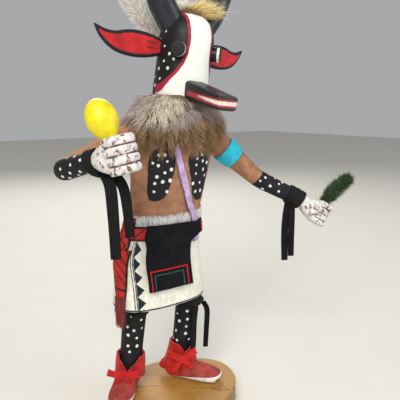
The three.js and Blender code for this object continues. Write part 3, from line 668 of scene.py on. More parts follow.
def body_paint():
    layers = [("patch", SOFT_BLACK), ("dots", WHITE), ("kilt", (0.76, 0.75, 0.66)), (kilt_border, BLUE_BLACK)]
    return painted("body_paint", TAN, layers, rough=0.66, grain=0.07, wobble=0.3)


def make_torso():
    z, A, P = rings(TORSO, 160, 200)
    a = signed(A)
    deg = np.degrees(a)
    run = (deg + 48.5 + 12 * (z - KILT["hem"]) / 42) * MM_PER_DEGREE
    dots = spots(P, dots_on(TORSO, CHEST_DOTS + BACK_DOTS), 1.15)

    # Knife facets left by the carving.
    facets = 0.16 * np.sin(z * 0.9 + 2.1 * np.sin(3 * a)) * np.cos(5 * a + 0.05 * z)
    P = P + unit(P - axis(z)) * facets[..., None]
    marks = dict(kilt=z - KILT["top"], run=run, rise=z, patch=torso_patch(z, deg), dots=dots)
    finish_piece(tube("carved_body", P, marks), body_paint(), "painted_wood", "figure_body")


# Dots on the legs as (height, degrees).
LEG_DOTS = dict(
    right=[(71.8, -46), (68.4, 6), (63.9, -60), (61.7, 15), (61.3, -27), (57.7, -54), (55.3, -10),
           (49.6, -51), (49, -4), (45, -40), (66, 60), (58, 90), (70, 130), (50, 120), (60, 170), (46, 60)],
    left=[(71.3, -101), (73.5, -44), (68.7, -33), (65.5, -86), (62.4, -27), (60.4, -68), (56.6, -29),
          (52.4, -84), (51.2, -27), (45.3, -104), (45.3, -70), (46, -4), (66, 60), (58, 90), (70, 130),
          (60, 170), (46, 60)])


def make_leg(name):
    P = rings(leg_form(name), 90, 72)[2]
    centres = [leg_at(name, z) + (LEG["radius"] + 0.2) * level(deg) for z, deg in LEG_DOTS[name]]
    piece = tube(f"leg_{name}", P, dict(dots=spots(P, centres, 1.05)))
    paint = painted(f"leg_{name}_paint", (0.010, 0.010, 0.012), [("dots", WHITE)], rough=0.6, mottle=0.3,
                    wear=((0.07, 0.05, 0.035), 0.68, 0.82, None))
    finish_piece(piece, paint, "painted_wood", "figure_body")


def make_moccasin(name):
    S, _, P = rings(foot_form(name), 72, 72)
    sole = P[..., 2] - FLOOR - np.interp(S, [0, 3, 5, 8], [0.8, 3.0, 5.6, 6.6])
    marks = dict(sole=sole, heel=(S - 3.2) * 4, seam=np.abs(sole - 0.2) - 0.25)
    piece = tube(f"moccasin_{name}", P, marks)
    layers = [("heel", (0.48, 0.022, 0.016)), ("sole", (0.76, 0.74, 0.69)), ("seam", (0.12, 0.03, 0.025))]
    paint = painted(f"moccasin_{name}_paint", (0.33, 0.05, 0.042), layers, rough=0.7, mottle=0.25,
                    wear=((0.42, 0.16, 0.12), 0.62, 0.8, None))
    finish_piece(piece, paint, "painted_wood", "figure_body")


# ---- The mask -------------------------------------------------------------------------------------------


def head_frame(deg):
    """The direction out of the mask at an angle, square to FACE_UP, and the one across both."""
    out = level(deg)
    out = unit(out - FACE_UP * (out @ FACE_UP))
    return out, np.cross(FACE_UP, out)


# Half width of the pale face at heights on the mask.
FACE_WIDTH = track([(0, 18.6), (5, 17.2), (9.7, 15.6), (15.7, 12.4), (21, 10.2), (27, 8.6), (34, 8.1),
                    (44, 8.3), (57, 8.4)])
# Dots on one side of the mask as (height, degrees); the other side has the same.
MASK_DOTS = [
    (30.6, -81), (25.9, -66), (22.8, -55), (21.1, -78), (16.7, -66), (16.2, -92), (9.7, -84), (10.7, -106),
    (5.2, -101), (35, -100), (27, -108), (40, -84), (33, -122), (19, -124), (8, -128),
]


def mask_paint():
    layers = [("edge", CRIMSON), ("face", (0.80, 0.80, 0.75)), ("dots", (0.7, 0.69, 0.62))]
    return painted("mask_paint", BLACK, layers, rough=0.42, mottle=0.06, blotch=11, wobble=0.3)


def make_mask():
    P = rings(head_form(), 140, 170)[2]
    rel = P - HEAD_FOOT
    x, y, h = rel @ HEAD_ACROSS, rel @ HEAD_AHEAD, rel @ HEAD_UP
    width = FACE_WIDTH(h)[..., 1]
    behind = np.where((y > -2) | (h > 46), 0, FAR)
    face = np.abs(x) - width + behind
    edge = np.abs(np.abs(x) - width - 0.9) - 0.9 + behind
    centres = []
    for height, deg in MASK_DOTS:
        for sign in (1, -1):
            a = math.radians(sign * deg)
            out = HEAD_ACROSS * math.sin(a) + HEAD_AHEAD * math.cos(a)
            centres.append(on_head(height) + HEAD["radius"] * out)
    piece = tube("mask_case", P, dict(face=face, edge=edge, dots=spots(P, centres, 1.0)))
    finish_piece(piece, mask_paint(), "painted_wood", "mask_head")


def make_eye(name, sign):
    out, _ = head_frame(sign * EYE["angle"])
    base = on_head(EYE["height"])
    start, reach, r = HEAD["radius"] - 3, HEAD["radius"] + EYE["reach"], EYE["radius"]
    rows = [(start, r), (start + 1, r), (reach - 3, r), (reach - 0.7, r * 0.985), (reach - 0.15, r * 0.93),
            (reach, r * 0.84), (reach + 0.05, r * 0.4), (reach + 0.08, r * 0.05)]
    P = rings(rod([(base + out * far, radius) for far, radius in rows], FACE_UP), 50, 56)[2]
    along = (P - base) @ out - start
    ring = np.abs(along - (reach - start) + 1.7) - 0.85
    paint = painted(f"eye_{name}_paint", BLACK, [("ring", (0.72, 0.7, 0.62))], rough=0.4, mottle=0.1,
                    wobble=0.25, spec=0.25)
    finish_piece(tube(f"pop_eye_{name}", P, dict(ring=ring)), paint, "painted_wood", f"eye_{name}")


def bezier(p, q, r, s):
    """Points of a curve from p to s, pulled by q and r."""
    t = np.linspace(0, 1, 24)[:, None]
    return (1 - t) ** 3 * p + 3 * (1 - t) ** 2 * t * q + 3 * (1 - t) * t * t * r + t ** 3 * s


def ear_edge(points):
    """Two curves end to end through points given as shares of the ear's length and half width."""
    p = np.array(points) * (EAR["length"], EAR["width"] / 2)
    return np.concatenate([bezier(*p[:4]), bezier(*p[3:])[1:]])


EAR_LOW = ear_edge(((0, -.55), (.2, -1.05), (.52, -1.15), (.72, -.68), (.86, -.3), (.96, .3), (1, .98)))
EAR_HIGH = ear_edge(((1, .98), (.93, .9), (.84, .52), (.66, .72), (.45, 1.1), (.22, .95), (0, .5)))[::-1]


def ear_span(u, reach=1.0):
    """How far along the ear u is, and the low and high edge there."""
    x = EAR["length"] * (1 - (1 - u) ** 1.15) * reach
    return x, np.interp(x, *EAR_LOW.T), np.interp(x, *EAR_HIGH.T)


def ear_rim(u, v):
    x, y0, y1 = ear_span(u)
    return np.minimum(inside(v, y1 - y0), (EAR["length"] - x) * 0.7) - 2.1


def ear_dash(u, v):
    x, y0, y1 = ear_span(u)
    y = y0 + (y1 - y0) * v
    line = np.minimum(np.abs(y - 1.9), np.abs(y + 1.5)) - 0.4
    return np.maximum(line, np.maximum(3.4 - x, x - 11.5))


def make_ear(name, sign):
    out, _ = head_frame(sign * (90 + EAR["sweep"]))
    face = np.cross(out, FACE_UP)

    def place(u, v, depth):
        x, y0, y1 = ear_span(u, 0.999)
        y = y0 + (y1 - y0) * v
        rim = np.minimum(inside(v, y1 - y0), EAR["length"] - x)
        z = EAR["thickness"] / 2 * np.clip(0.72 + 0.28 * rim / 1.2, 0, 1) * (2 * depth - 1)
        return (on_head(EAR["height"]) + (x + HEAD["radius"] - 2)[..., None] * out + y[..., None] * FACE_UP
                + z[..., None] * face)
    piece = sheet_mesh(f"ear_board_{name}", place, 116, 46, dict(rim=ear_rim, dash=ear_dash))
    layers = [("rim", (0.010, 0.011, 0.018)), ("dash", (0.09, 0.02, 0.03))]
    paint = painted(f"ear_{name}_paint", (0.47, 0.018, 0.022), layers, rough=0.5, mottle=0.2, wobble=0.5)
    finish_piece(piece, paint, "ear_board", f"ear_{name}")


# Points of a horn as (out from the mask's axis, up from its top, share of the full radius).
HORN_LINE = ((8, -14, 1), (15, -5, 1), (22, 6, .98), (27.5, 19, .86), (29.5, 32, .64), (27.5, 42, .4),
             (25, 48, .14))


def horn_form(name):
    out, _ = head_frame(HORN[name])
    foot = on_head(HEAD["height"] - 14)
    return rod([(foot + FACE_UP * (z + 14) + out * x, HORN["radius"] * share) for x, z, share in HORN_LINE],
               FRONT)


def make_horn(name):
    form = horn_form(name)
    S, A, P = rings(form, 100, 64, start=0.35)
    wave = 0.03 * np.sin(S * 21 + 0.5 * np.sin(A * 2)) + 0.05 * np.sin(A * 7 + S)
    P = P + unit(P - form.at(S)[0]) * (wave * np.clip((6 - S) / 2, 0, 1))[..., None]
    paint = painted(f"horn_{name}_paint", (0.009, 0.011, 0.018), rough=0.36, mottle=0.3, grain=0.05, spec=0.5,
                    wear=((0.045, 0.04, 0.04), 0.66, 0.8, None))
    finish_piece(tube(f"horn_carved_{name}", P), paint, "painted_wood", f"horn_{name}")


def muzzle_paint():
    layers = [("lips", (0.34, 0.02, 0.035)), ("lip", (0.80, 0.70, 0.62))]
    return painted("muzzle_paint", (0.010, 0.010, 0.012), layers, rough=0.36, mottle=0.16, wobble=0.25,
                   spec=0.5)


def make_muzzle():
    out, side = head_frame(0)
    a = math.radians(MUZZLE["pitch"])
    ahead = out * math.cos(a) + FACE_UP * math.sin(a)
    foot = on_head(MUZZLE["height"]) + out * HEAD["radius"]
    length, root, tip, half = MUZZLE["length"], MUZZLE["root"], MUZZLE["tip"], MUZZLE["width"] / 2
    rows = []
    for s, t, rounding in ((-0.1, 0, 0), (0, 0, 0), (.5, .5, 0), (.93, 1, 0), (.985, 1, .5), (1, 1, 1.5)):
        high = (root + (tip - root) * t) / 2
        rows.append((*(foot + ahead * (s * length)), half - rounding, high - rounding * 0.5, 5))
    for beyond, share in ((0.1, 0.6), (0.15, 0.02)):
        rows.append((*(foot + ahead * (length + beyond)), half * share, tip / 2 * share, 5))
    P = rings(Limb(rows, FACE_UP), 96, 112)[2]
    along = (P - foot) @ ahead / length
    up = (P - foot) @ unit(np.cross(ahead, side))
    off = np.abs(up + 1.3 - 1.2 * along)
    behind = length * (0.07 - along)
    lip = np.maximum(off - 0.5 - 0.75 * along, behind)
    lips = np.maximum(off - 1.35 - 1.1 * along, behind - 1)
    piece = tube("muzzle_carved", P, dict(lip=lip, lips=lips))
    finish_piece(piece, muzzle_paint(), "painted_wood", "muzzle")


# ---- Arms and what they hold ----------------------------------------------------------------------------


GRIP_UP = dict(right=unit(np.array(RATTLE["middle"]) - np.array(FIST["right"])),
               left=unit(np.array(SPRIG["tip"]) - np.array(FIST["left"])))


def hand_frame(name):
    """The directions ahead along the forearm, up along what the hand holds, and across the hand."""
    ahead = unit(np.array(FIST[name], float) - np.array(ELBOW[name], float))
    up = unit(GRIP_UP[name] - ahead * (GRIP_UP[name] @ ahead))
    return ahead, up, np.cross(ahead, up)


# The palm is (ahead, half width, half depth), a finger (ahead, across), the thumb (ahead, across, up).
PALM = ((-13, 5.4, 5.4), (-8, 6.6, 7.6), (-1, 6.6, 9.6), (4, 5.2, 9.4))
FINGER = ((-2, 4.9), (4.5, 4.8), (7.8, 1.6), (7.9, -3), (5, -6), (-1.5, -5.8))
THUMB = ((-7, -4.5, 3.5), (-2, -6.4, 5.6), (3, -6, 7.4), (6.2, -3.4, 7.6))


def hand_forms(name, size):
    """A palm, four rolled fingers and a thumb, which are fused later."""
    ahead, up, back = hand_frame(name)
    fist = np.array(FIST[name], float)

    def spot(f, b, h):
        return fist + ahead * f + back * b + up * h
    forms = [Limb([(*spot(f * size, 0, 0), w * size, h * size, 3) for f, w, h in PALM], up)]
    for i in range(4):
        r, h = (2.3 if i == 3 else 2.55) * size, (7.3 - i * 4.85) * size
        forms.append(rod([(spot(f * size, b * size, h), r) for f, b in FINGER], up, 2.4))
    forms.append(rod([(spot(f * size, b * size, h * size), 2.5 * size) for f, b, h in THUMB], up, 2.3))
    return forms


# Dots on the arms as (place along the arm, degrees round it).
ARM_DOTS = dict(
    right=[(4.44, 87), (5.18, 82), (5.77, 70), (4.75, 27), (4.98, 122), (5.53, 135), (5.28, 156),
           (4.35, 129), (4.63, 154), (5.74, 166), (5.3, 30), (4.8, -30), (5.4, -60), (4.9, -100),
           (5.4, -150), (4.6, -140)],
    left=[(3.7, 96), (3.96, 60), (4.49, 93), (4.86, 54), (4.58, 18), (5.0, 21), (5.0, 101), (4.2, 0),
          (4.2, 140), (3.8, -60), (4.5, -80), (4.9, -40), (4.1, -130), (4.8, -150), (3.7, -20)])
# Where the dark patch starts along an arm, and how far that line slants.
ARM_PATCH = dict(right=(3.55, 0.6), left=(3.35, 0.1))
HAND_START = 6.05


def arm_marks(name, size, form, P):
    """Where the dark patch, the dots, the bare hand and its creases are on a fused arm."""
    line = np.linspace(0, 7, 281)
    centre = form.at(line)[0]
    near = np.array([np.argmin(np.linalg.norm(centre - p, axis=1)) for p in P])
    s = line[near]
    _, u, v = form.at(s)[:3]
    rel = P - centre[near]
    a = np.arctan2((rel * u).sum(-1), (rel * v).sum(-1))
    start, slant = ARM_PATCH[name]
    ahead, up, _ = hand_frame(name)
    local = (P - np.array(FIST[name])) / size
    between = np.min([np.abs(local @ up - h) for h in (4.9, 0.05, -4.8)], axis=0) - 0.42
    return dict(
        patch=(start + slant * np.cos(a) - s) * 14,
        dots=np.maximum(spots(P, dots_on(form, ARM_DOTS[name]), 1.0), (s - 5.9) * 10),
        hand=(HAND_START - s) * 14,
        crease=np.maximum(between, -1 - local @ ahead))


def arm_paint(name):
    layers = [("patch", SOFT_BLACK), ("dots", WHITE), ("hand", (0.70, 0.69, 0.68)),
              ("crease", (0.11, 0.03, 0.035))]
    return painted(f"arm_{name}_paint", TAN, layers, rough=0.64, wobble=0.6,
                   wear=((0.15, 0.075, 0.06), 0.52, 0.61, "hand"))


def make_arm(name, size):
    form = arm_form(name)
    parts = [tube(f"arm_part_{name}", rings(form, 120, 48)[2])]
    for i, part in enumerate(hand_forms(name, size)):
        parts.append(tube(f"hand_part_{name}_{i}", rings(part, 40, 26)[2]))
    piece = merge_smooth(join_pieces(f"carved_arm_{name}", parts), 0.62, 2)
    mark(piece, **arm_marks(name, size, form, points_of(piece)))
    finish_piece(piece, arm_paint(name), "painted_wood", f"arm_{name}")


def make_rattle():
    middle, half, R, neck = np.array(RATTLE["middle"]), RATTLE["length"] / 2, RATTLE["radius"], RATTLE["neck"]
    rows = [(-half - 16, neck), (-half - 4, neck), (-half + 0.5, neck + 0.6), (-half + 5, R * .72),
            (-half + 10, R * .97), (half - 10, R), (half - 4.5, R * .8), (half - 1.2, R * .42),
            (half, R * .1)]
    P = rings(rod([(middle + GRIP_UP["right"] * h, r) for h, r in rows], FRONT), 80, 72)[2]
    piece = tube("rattle_gourd", P, dict(neck=(P - middle) @ GRIP_UP["right"] + half - 0.2))
    paint = painted("rattle_paint", (0.78, 0.66, 0.006), [("neck", (0.55, 0.45, 0.01))], rough=0.38,
                    mottle=0.12, blotch=9, wear=((0.62, 0.46, 0.02), 0.62, 0.85, None), grain=0.05, spec=0.45)
    finish_piece(piece, paint, "gourd", "rattle")


def sprig_form():
    foot, tip, R = np.array(FIST["left"]), np.array(SPRIG["tip"]), SPRIG["radius"]
    rows = []
    for t, share in ((.1, .35), (.26, .6), (.42, 1), (.66, 1.02), (.88, .78), (1, .28)):
        p = foot + (tip - foot) * t + UP * 2.2 * math.sin(t * math.pi)
        rows.append((*p, R * share, R * share * .9, 2.2))
    return Limb(rows, FRONT)


def make_sprig():
    form = sprig_form()
    S, A = np.meshgrid(np.linspace(0, 4.6, 40), np.linspace(0, 6.28, 16), indexing="ij")
    core = tube("sprig_stem", skin(form, S, A, 0, 0.22))
    n = 6500
    s, a, share = rng.uniform(0.05, 4.9, n), rng.uniform(0, 6.283, n), np.sqrt(rng.uniform(0.02, 0.85, n))
    roots = skin(form, s, a, 0, share * 0.9)
    ahead = unit(form.at(np.minimum(s + 0.1, 5))[0] - form.at(np.maximum(s - 0.1, 0))[0])
    ways = unit(roots - form.at(s)[0] + 1e-6) * 0.8 + ahead * 0.9 + rng.normal(size=(n, 3)) * 0.55
    needles = strands("sprig_needles", roots, ways, rng.uniform(1.6, 3.6, n), np.full(n, 0.34),
                      rng.normal(size=(n, 3)) * 0.35, 2)
    greens = [(0.01, 0.035, 0.014), (0.02, 0.075, 0.022), (0.045, 0.11, 0.03), (0.10, 0.13, 0.045)]
    green = hair("sprig_green", greens, rough=0.7, sheen=0.0, root_shade=0.5)
    finish_piece(needles, green, "evergreen", "sprig")
    stem = painted("sprig_stem_bark", (0.03, 0.05, 0.02), rough=0.85, mottle=0.3)
    finish_piece(core, stem, "evergreen", "sprig")


# ---- Leather and cloth ------------------------------------------------------------------------------------

WAIST = 0.55
LEATHER = 1.2
# The shoulder strap: height, the middle's degrees, and how far it stands off the body.
STRAP_TRACK = track([
    (126, 33, 0.6), (131, 32.5, 0.8), (136, 31, 1), (140, 27.5, 1.6), (144.5, 22.5, 2.3), (149, 17.8, 2),
    (154, 13.4, 1.1), (160, 8.6, 0.6), (172, 0, 0.5), (184, -7.6, 0.5), (196, -15, 0.5), (203, -20, 0.5)])
BELT_LOW, BELT_HIGH = 132, 140.5


def over_strap(angle):
    """How far the belt and the apron lift where they pass over the shoulder strap."""
    k = STRAP_TRACK(np.array(float(BELT_HIGH)))
    away = np.abs(signed(angle) - math.radians(k[1])) / 0.42
    return (k[2] + 0.9) * np.clip(1 - np.clip(away - 0.45, 0, None) * 1.8, 0, None)


def hide_depth(t, margin):
    """The thickness of a strip of leather, which is thinner at both edges."""
    return LEATHER * (0.55 + 0.45 * edge_rise(t, margin))


def make_strap():
    def place(u, v, depth):
        z = 126 + 77 * v
        k = STRAP_TRACK(z)
        middle = np.radians(k[..., 1])
        step = skin(TORSO, z, middle + 0.12) - skin(TORSO, z, middle - 0.12)
        reach = np.linalg.norm(step, axis=-1) / 0.24
        half = 2.7 + 0.12 * np.sin(z * 0.8)
        angle = middle + (u - 0.5) * 2 * half / reach
        return skin(TORSO, z, angle, k[..., 2] + depth * 0.9 * (0.55 + 0.45 * edge_rise(u, 0.08)))

    def edge(u, v):
        return inside(u, 5.4) - 0.35
    piece = sheet_mesh("shoulder_strap_hide", place, 18, 160, dict(edge=edge))
    lilac = leather("lilac_hide", (0.47, 0.34, 0.56), [("edge", (0.13, 0.08, 0.15))], rough=0.75, sheen=0.1,
                    worn=0.1)
    finish_piece(piece, lilac, "lilac_leather", "shoulder_strap")


def make_fringe():
    low, high = 140.8, 147.0

    def ridged(t, a):
        return WAIST + 0.55 + 0.1 * np.sin(a * 90)
    core = band_mesh("waist_fringe_core", TORSO, low, high - 0.6, WAIST, ridged)
    n = 5200
    a = np.sort(rng.uniform(0, 2 * math.pi, n))
    z = np.where(rng.random(n) < 0.7, low + rng.uniform(0, 1.4, n), low + rng.uniform(0, 4.5, n))
    roots = skin(TORSO, z, a, WAIST + 0.5 + rng.uniform(0, 0.35, n))
    out = unit(skin(TORSO, z, a, 3.0) - skin(TORSO, z, a, 0.0))
    around = unit(skin(TORSO, z, a + 0.02) - skin(TORSO, z, a - 0.02))
    ways = UP + out * rng.uniform(-0.02, 0.14, n)[:, None] + around * rng.normal(0, 0.09, n)[:, None]
    reach = np.clip(high + 0.8 - z, 1.0, None) * rng.uniform(0.5, 1.2, n)
    threads = strands("waist_fringe_threads", roots, ways, reach, np.full(n, 0.42), out * 0.03, 2)
    silvers = [(0.40, 0.40, 0.42), (0.86, 0.86, 0.88), (0.98, 0.98, 0.98)]
    silver = hair("fringe_thread", silvers, rough=0.4, sheen=0.0, root_shade=0.8)
    finish_piece(threads, silver, "silver_fringe", "waist_fringe")
    backing = leather("fringe_backing", (0.42, 0.42, 0.4), rough=0.7)
    finish_piece(core, backing, "silver_fringe", "waist_fringe")


def make_belt(hide):
    def inner(t, a):
        return WAIST + over_strap(a)

    def outer(t, a):
        return inner(t, a) + hide_depth(t, 0.1)

    def inked(S, A):
        edge = np.minimum(S - BELT_LOW, BELT_HIGH - S) - 1.0
        return np.minimum(edge, hatch(signed(A) * 26, S - 136, 13, -1.1, 0.75))
    piece = band_mesh("belt_hide", TORSO, BELT_LOW, BELT_HIGH, inner, outer, columns=300, rows=16,
                      marks=dict(inked=inked))
    finish_piece(piece, hide, "red_leather", "belt")


def make_belt_knot(hide):
    def place(u, v, depth):
        z = 126 + 20.5 * v
        swell = np.sin(math.pi * u) * np.sin(math.pi * v)
        folds = 0.5 * np.sin(9 * u + 5 * v) * swell + 0.35 * np.sin(16 * v - 6 * u) * swell
        start = np.where(z > BELT_HIGH, WAIST + 1.3, 1.1)
        pull = 1 - 0.32 * np.exp(-((v - 0.5) / 0.2) ** 2)
        angle = np.radians(-87 + (38 * u - 19) * pull)
        return skin(TORSO, z, angle, start + depth * (1.3 + 3.1 * swell + folds))

    def inked(u, v):
        x, y = u * 17, v * 20
        strokes = np.minimum(hatch(x, y, 5.2, 0.7, 0.55), hatch(x, y, 6.1, -0.8, 0.4))
        return np.minimum(strokes, inside(u, 17) - 0.8)
    finish_piece(sheet_mesh("belt_knot", place, 60, 70, dict(inked=inked)), hide, "red_leather", "belt")


APRON_HEM, APRON_DROP = 97, 44.8
# Heights on the apron, and the degrees of its two edges there.
APRON_SIDES = track([(97, -28, 15), (112, -30, 15), (127, -35, 16), (131.5, -40, 20), (134, -43, 27),
                     (141.8, -45, 28)])


def frame_line(inset, thick):
    """A mark for a line round the apron's lower panel, a little inside its edge."""
    def line(u, v):
        x, y = (u - 0.49) * 33, v * APRON_DROP
        box = np.maximum(np.abs(x) - (12.6 - inset), y - (14.6 - inset))
        return np.abs(box) - thick
    return line


def make_apron():
    def place(u, v, depth):
        z = APRON_HEM + APRON_DROP * v
        k = APRON_SIDES(z)
        angle = np.radians(k[..., 1] + (k[..., 2] - k[..., 1]) * u)
        w = np.clip((z - BELT_LOW + 4) / 4, 0, 1)
        lift = 2.5 + (1 - v) * 0.9 + w * w * (3 - 2 * w) * over_strap(angle)
        ripple = 0.35 * (1 - v) * np.sin(u * 7.5 + 0.6) + 0.25 * (1 - v) ** 3 * np.sin(u * 15)
        rim = np.minimum(edge_rise(u, 0.02), edge_rise(v, 0.02))
        thick = (depth - 0.5) * LEATHER * (0.5 + 0.5 * rim) + 0.5 * LEATHER
        return skin(TORSO, z, angle, lift + ripple + thick)
    marks = dict(red=frame_line(0, 0.42), green=frame_line(3.1, 0.36))
    piece = sheet_mesh("apron_hide", place, 76, 104, marks)
    layers = [("red", (0.52, 0.014, 0.014)), ("green", (0.02, 0.10, 0.085))]
    hide = leather("black_hide", (0.008, 0.008, 0.010), layers, rough=0.8, wobble=0.25, worn=0.03, spec=0.08)
    finish_piece(piece, hide, "black_leather", "apron")


SASH_LOW, SASH_HIGH = 71, 125.4


def sash_skin(z, u, offset):
    """Points of the sash at heights z and u across it; under the hem it hangs straight down."""
    share = (z - SASH_LOW) / (SASH_HIGH - SASH_LOW)
    left, right = -83 - 17 * share, -71 + 11 * share
    hung = np.maximum(z, KILT["hem"] + 0.5)
    P = skin(TORSO, hung, np.radians(left + (right - left) * u), offset)
    P[..., 2] += z - hung
    return P


def make_sash_fringe():
    n = 420
    u = rng.uniform(0, 1, n)
    z = rng.uniform(SASH_LOW + 6, SASH_LOW + 22, n)
    roots = sash_skin(z, u, 0.9 + LEATHER)
    ways = -UP + rng.normal(size=(n, 3)) * 0.05
    lengths = np.minimum(z - SASH_LOW + 1, rng.uniform(6, 15, n))
    piece = strands("sash_fringe", roots, ways, lengths, np.full(n, 0.55), rng.normal(size=(n, 3)) * 0.02, 3)
    reds = [(0.16, 0.01, 0.012), (0.38, 0.016, 0.014), (0.04, 0.008, 0.01)]
    return finish_piece(piece, hair("sash_thread", reds, rough=0.7, root_shade=0.8), "red_leather", "sash")


def make_sash(hide):
    def place(u, v, depth):
        z = SASH_LOW + 7 + (SASH_HIGH - SASH_LOW - 7) * v
        ripple = 0.25 * np.sin(v * 14) * np.sin(math.pi * u)
        return sash_skin(z, u, 0.7 + ripple * (1 - v) + depth * hide_depth(u, 0.08))

    def inked(u, v):
        x, y = u * 12, v * 48
        strokes = np.where(v > 0.5, hatch(x, y, 6.5, 0.9, 0.6), np.abs(y - 20) - 0.8)
        return np.minimum(inside(u, 12) - 0.9, strokes)
    piece = sheet_mesh("sash_hide", place, 40, 120, dict(inked=inked))
    finish_piece(piece, hide, "red_leather", "sash")
    fringe = make_sash_fringe()


def make_armband():
    def outer(t, a):
        return 0.3 + 0.9 * (0.6 + 0.4 * edge_rise(t, 0.1))

    def stripe(S, A):
        return hatch(signed(A) * 8, (S - 0.9) * 16, 7.5, -0.9, 0.55)
    piece = band_mesh("armband_hide", arm_form("left"), 0.98, 1.62, 0.3, outer, columns=120, rows=14,
                      marks=dict(stripe=stripe))
    hide = leather("turquoise_hide", (0.02, 0.44, 0.60), [("stripe", (0.05, 0.48, 0.64))], rough=0.55,
                   mottle=0.12)
    finish_piece(piece, hide, "turquoise_leather", "armband")


def wrap_piece(name, form, low, high, thick, knot_deg, spread, bulge, coils, material):
    """A strap wound a few times round a limb from low to high, with its knot."""
    def outer(t, a):
        creep = (t * coils + 0.18 * np.sin(a + 1.3)) % 1
        return 0.3 + thick * (0.62 + 0.38 * np.sin(math.pi * creep) ** 0.5)

    def knot(u, v, depth):
        s = low + (high - low) * (0.5 + (v - 0.5) * 0.8)
        swell = 0.3 + 0.7 * np.sin(math.pi * u) * np.sin(math.pi * v)
        height = bulge * swell + 0.3 * np.sin(8 * u + 5 * v) * swell
        return skin(form, s, math.radians(knot_deg) + (u - 0.5) * spread, 0.9 + depth * height)
    ring = band_mesh(f"{name}_coils", form, low, high, 0.3, outer, columns=120, rows=30)
    lump = sheet_mesh(f"{name}_knot", knot, 30, 30)
    finish_piece(join_pieces(f"{name}_hide", [ring, lump]), material, "black_leather", name)


# The wraps: form, low and high place on it, thickness, the knot's degrees, spread and bulge, coils.
WRAPS = dict(
    wrist_wrap_right=(arm_form("right"), 5.95, 6.5, 1.3, 180, 1.3, 3, 3),
    wrist_wrap_left=(arm_form("left"), 5.45, 6.15, 1.3, 180, 1.3, 3, 3),
    knee_band_right=(leg_form("right"), 3.12, 3.5, 1.4, 200, 1.1, 2.6, 2),
    knee_band_left=(leg_form("left"), 3.12, 3.5, 1.4, 53, 1.1, 2.6, 2),
)
# The hanging strips: points of the route, width, and the direction across the strip.
STRIPS = dict(
    wrist_tie_right_1=(((-64.2, -26.8, 183.6), (-63.4, -31.6, 176), (-62.8, -33, 158), (-62, -32.9, 134)),
                       7, (0.8, -0.6, 0)),
    wrist_tie_right_2=(((-60.2, -28.8, 183.4), (-57, -34.6, 175.6), (-55.8, -36.8, 162), (-55.2, -37.8, 147)),
                       6.2, (0.8, -0.6, 0)),
    wrist_tie_left_1=(((91.4, -21.9, 146.4), (89, -22.2, 136), (87.6, -22.8, 124), (87.6, -23.8, 102)),
                      5.6, (0.8, -0.6, 0)),
    wrist_tie_left_2=(((92.2, -24.9, 146.2), (90.8, -26.8, 135), (90.3, -27.3, 122), (90.2, -27.9, 106)),
                      5.2, (0.8, -0.6, 0)),
    knee_tie_right_1=(((-20.9, 31.6, 71.4), (-23.2, 32, 54), (-26, 34.6, 34)), 4.6, (0.8, -0.6, 0)),
    knee_tie_right_2=(((-12.8, 25, 71), (-13.6, 25.9, 54), (-15.2, 26.4, 29.5)), 4.4, (-0.4, 0.92, 0)),
    knee_tie_left_1=(((31.4, 7.6, 71), (36.4, 9.2, 62), (36.4, 10, 46), (35.8, 10.4, 30.4)),
                     4.4, (0.8, -0.6, 0)),
    knee_tie_left_2=(((19.2, 1, 71.4), (17, 0.2, 55), (14.8, -1.8, 38)), 5, (1, 0, 0)),
)


def make_ties(hide):
    for k, (name, (route, width, across)) in enumerate(STRIPS.items()):
        P, line, length = ribbon(route, width, LEATHER, across, n=60, taper=0.9, curl=0.25 * (-1) ** k,
                                 wave=0.18 + 0.05 * (k % 3))
        piece = tube(f"{name}_hide", P)
        finish_piece(piece, hide, "tie_leather", name)
        route_out = [(point * MM).tolist() for point in [*line[::3], line[-1]]]


# ---- Boots ----------------------------------------------------------------------------------------------

CUFF = dict(right=dict(low=25, high=41, flare=11.5, notch=(8.5, 10.5)),
            left=dict(low=25, high=42, flare=13, notch=(5, 5)))
BOW = dict(right=dict(facing=-42, height=30.5, out=13.5), left=dict(facing=-22, height=35, out=13.8))
# A bow's loops and tails as (across, up, ahead) from its knot.
BOW_LOOPS = dict(
    right=((0.5, 0, 1.2), (5, 1.8, 2.4), (9.8, 2.4, 1.6), (10.9, 2.0, 0.3), (9.4, 1.0, -0.9), (5, 0, -1),
           (0.5, -0.6, 0)),
    left=((0.5, 0.3, 1.2), (4.8, 3.4, 2.4), (9.2, 5.6, 1.6), (10.2, 5.6, 0.3), (9, 4, -0.9), (4.8, 1.6, -1),
          (0.5, -0.4, 0)))
BOW_TAIL = ((0.6, -0.4, 0.2), (3.4, -3.6, 1.4), (6.6, -8.4, 1.2))
BOW_KNOT = ((-2.9, .5), (-2.4, 2.2), (-0.5, 2.9), (1.4, 2.7), (2.6, 1.2), (2.9, .3))


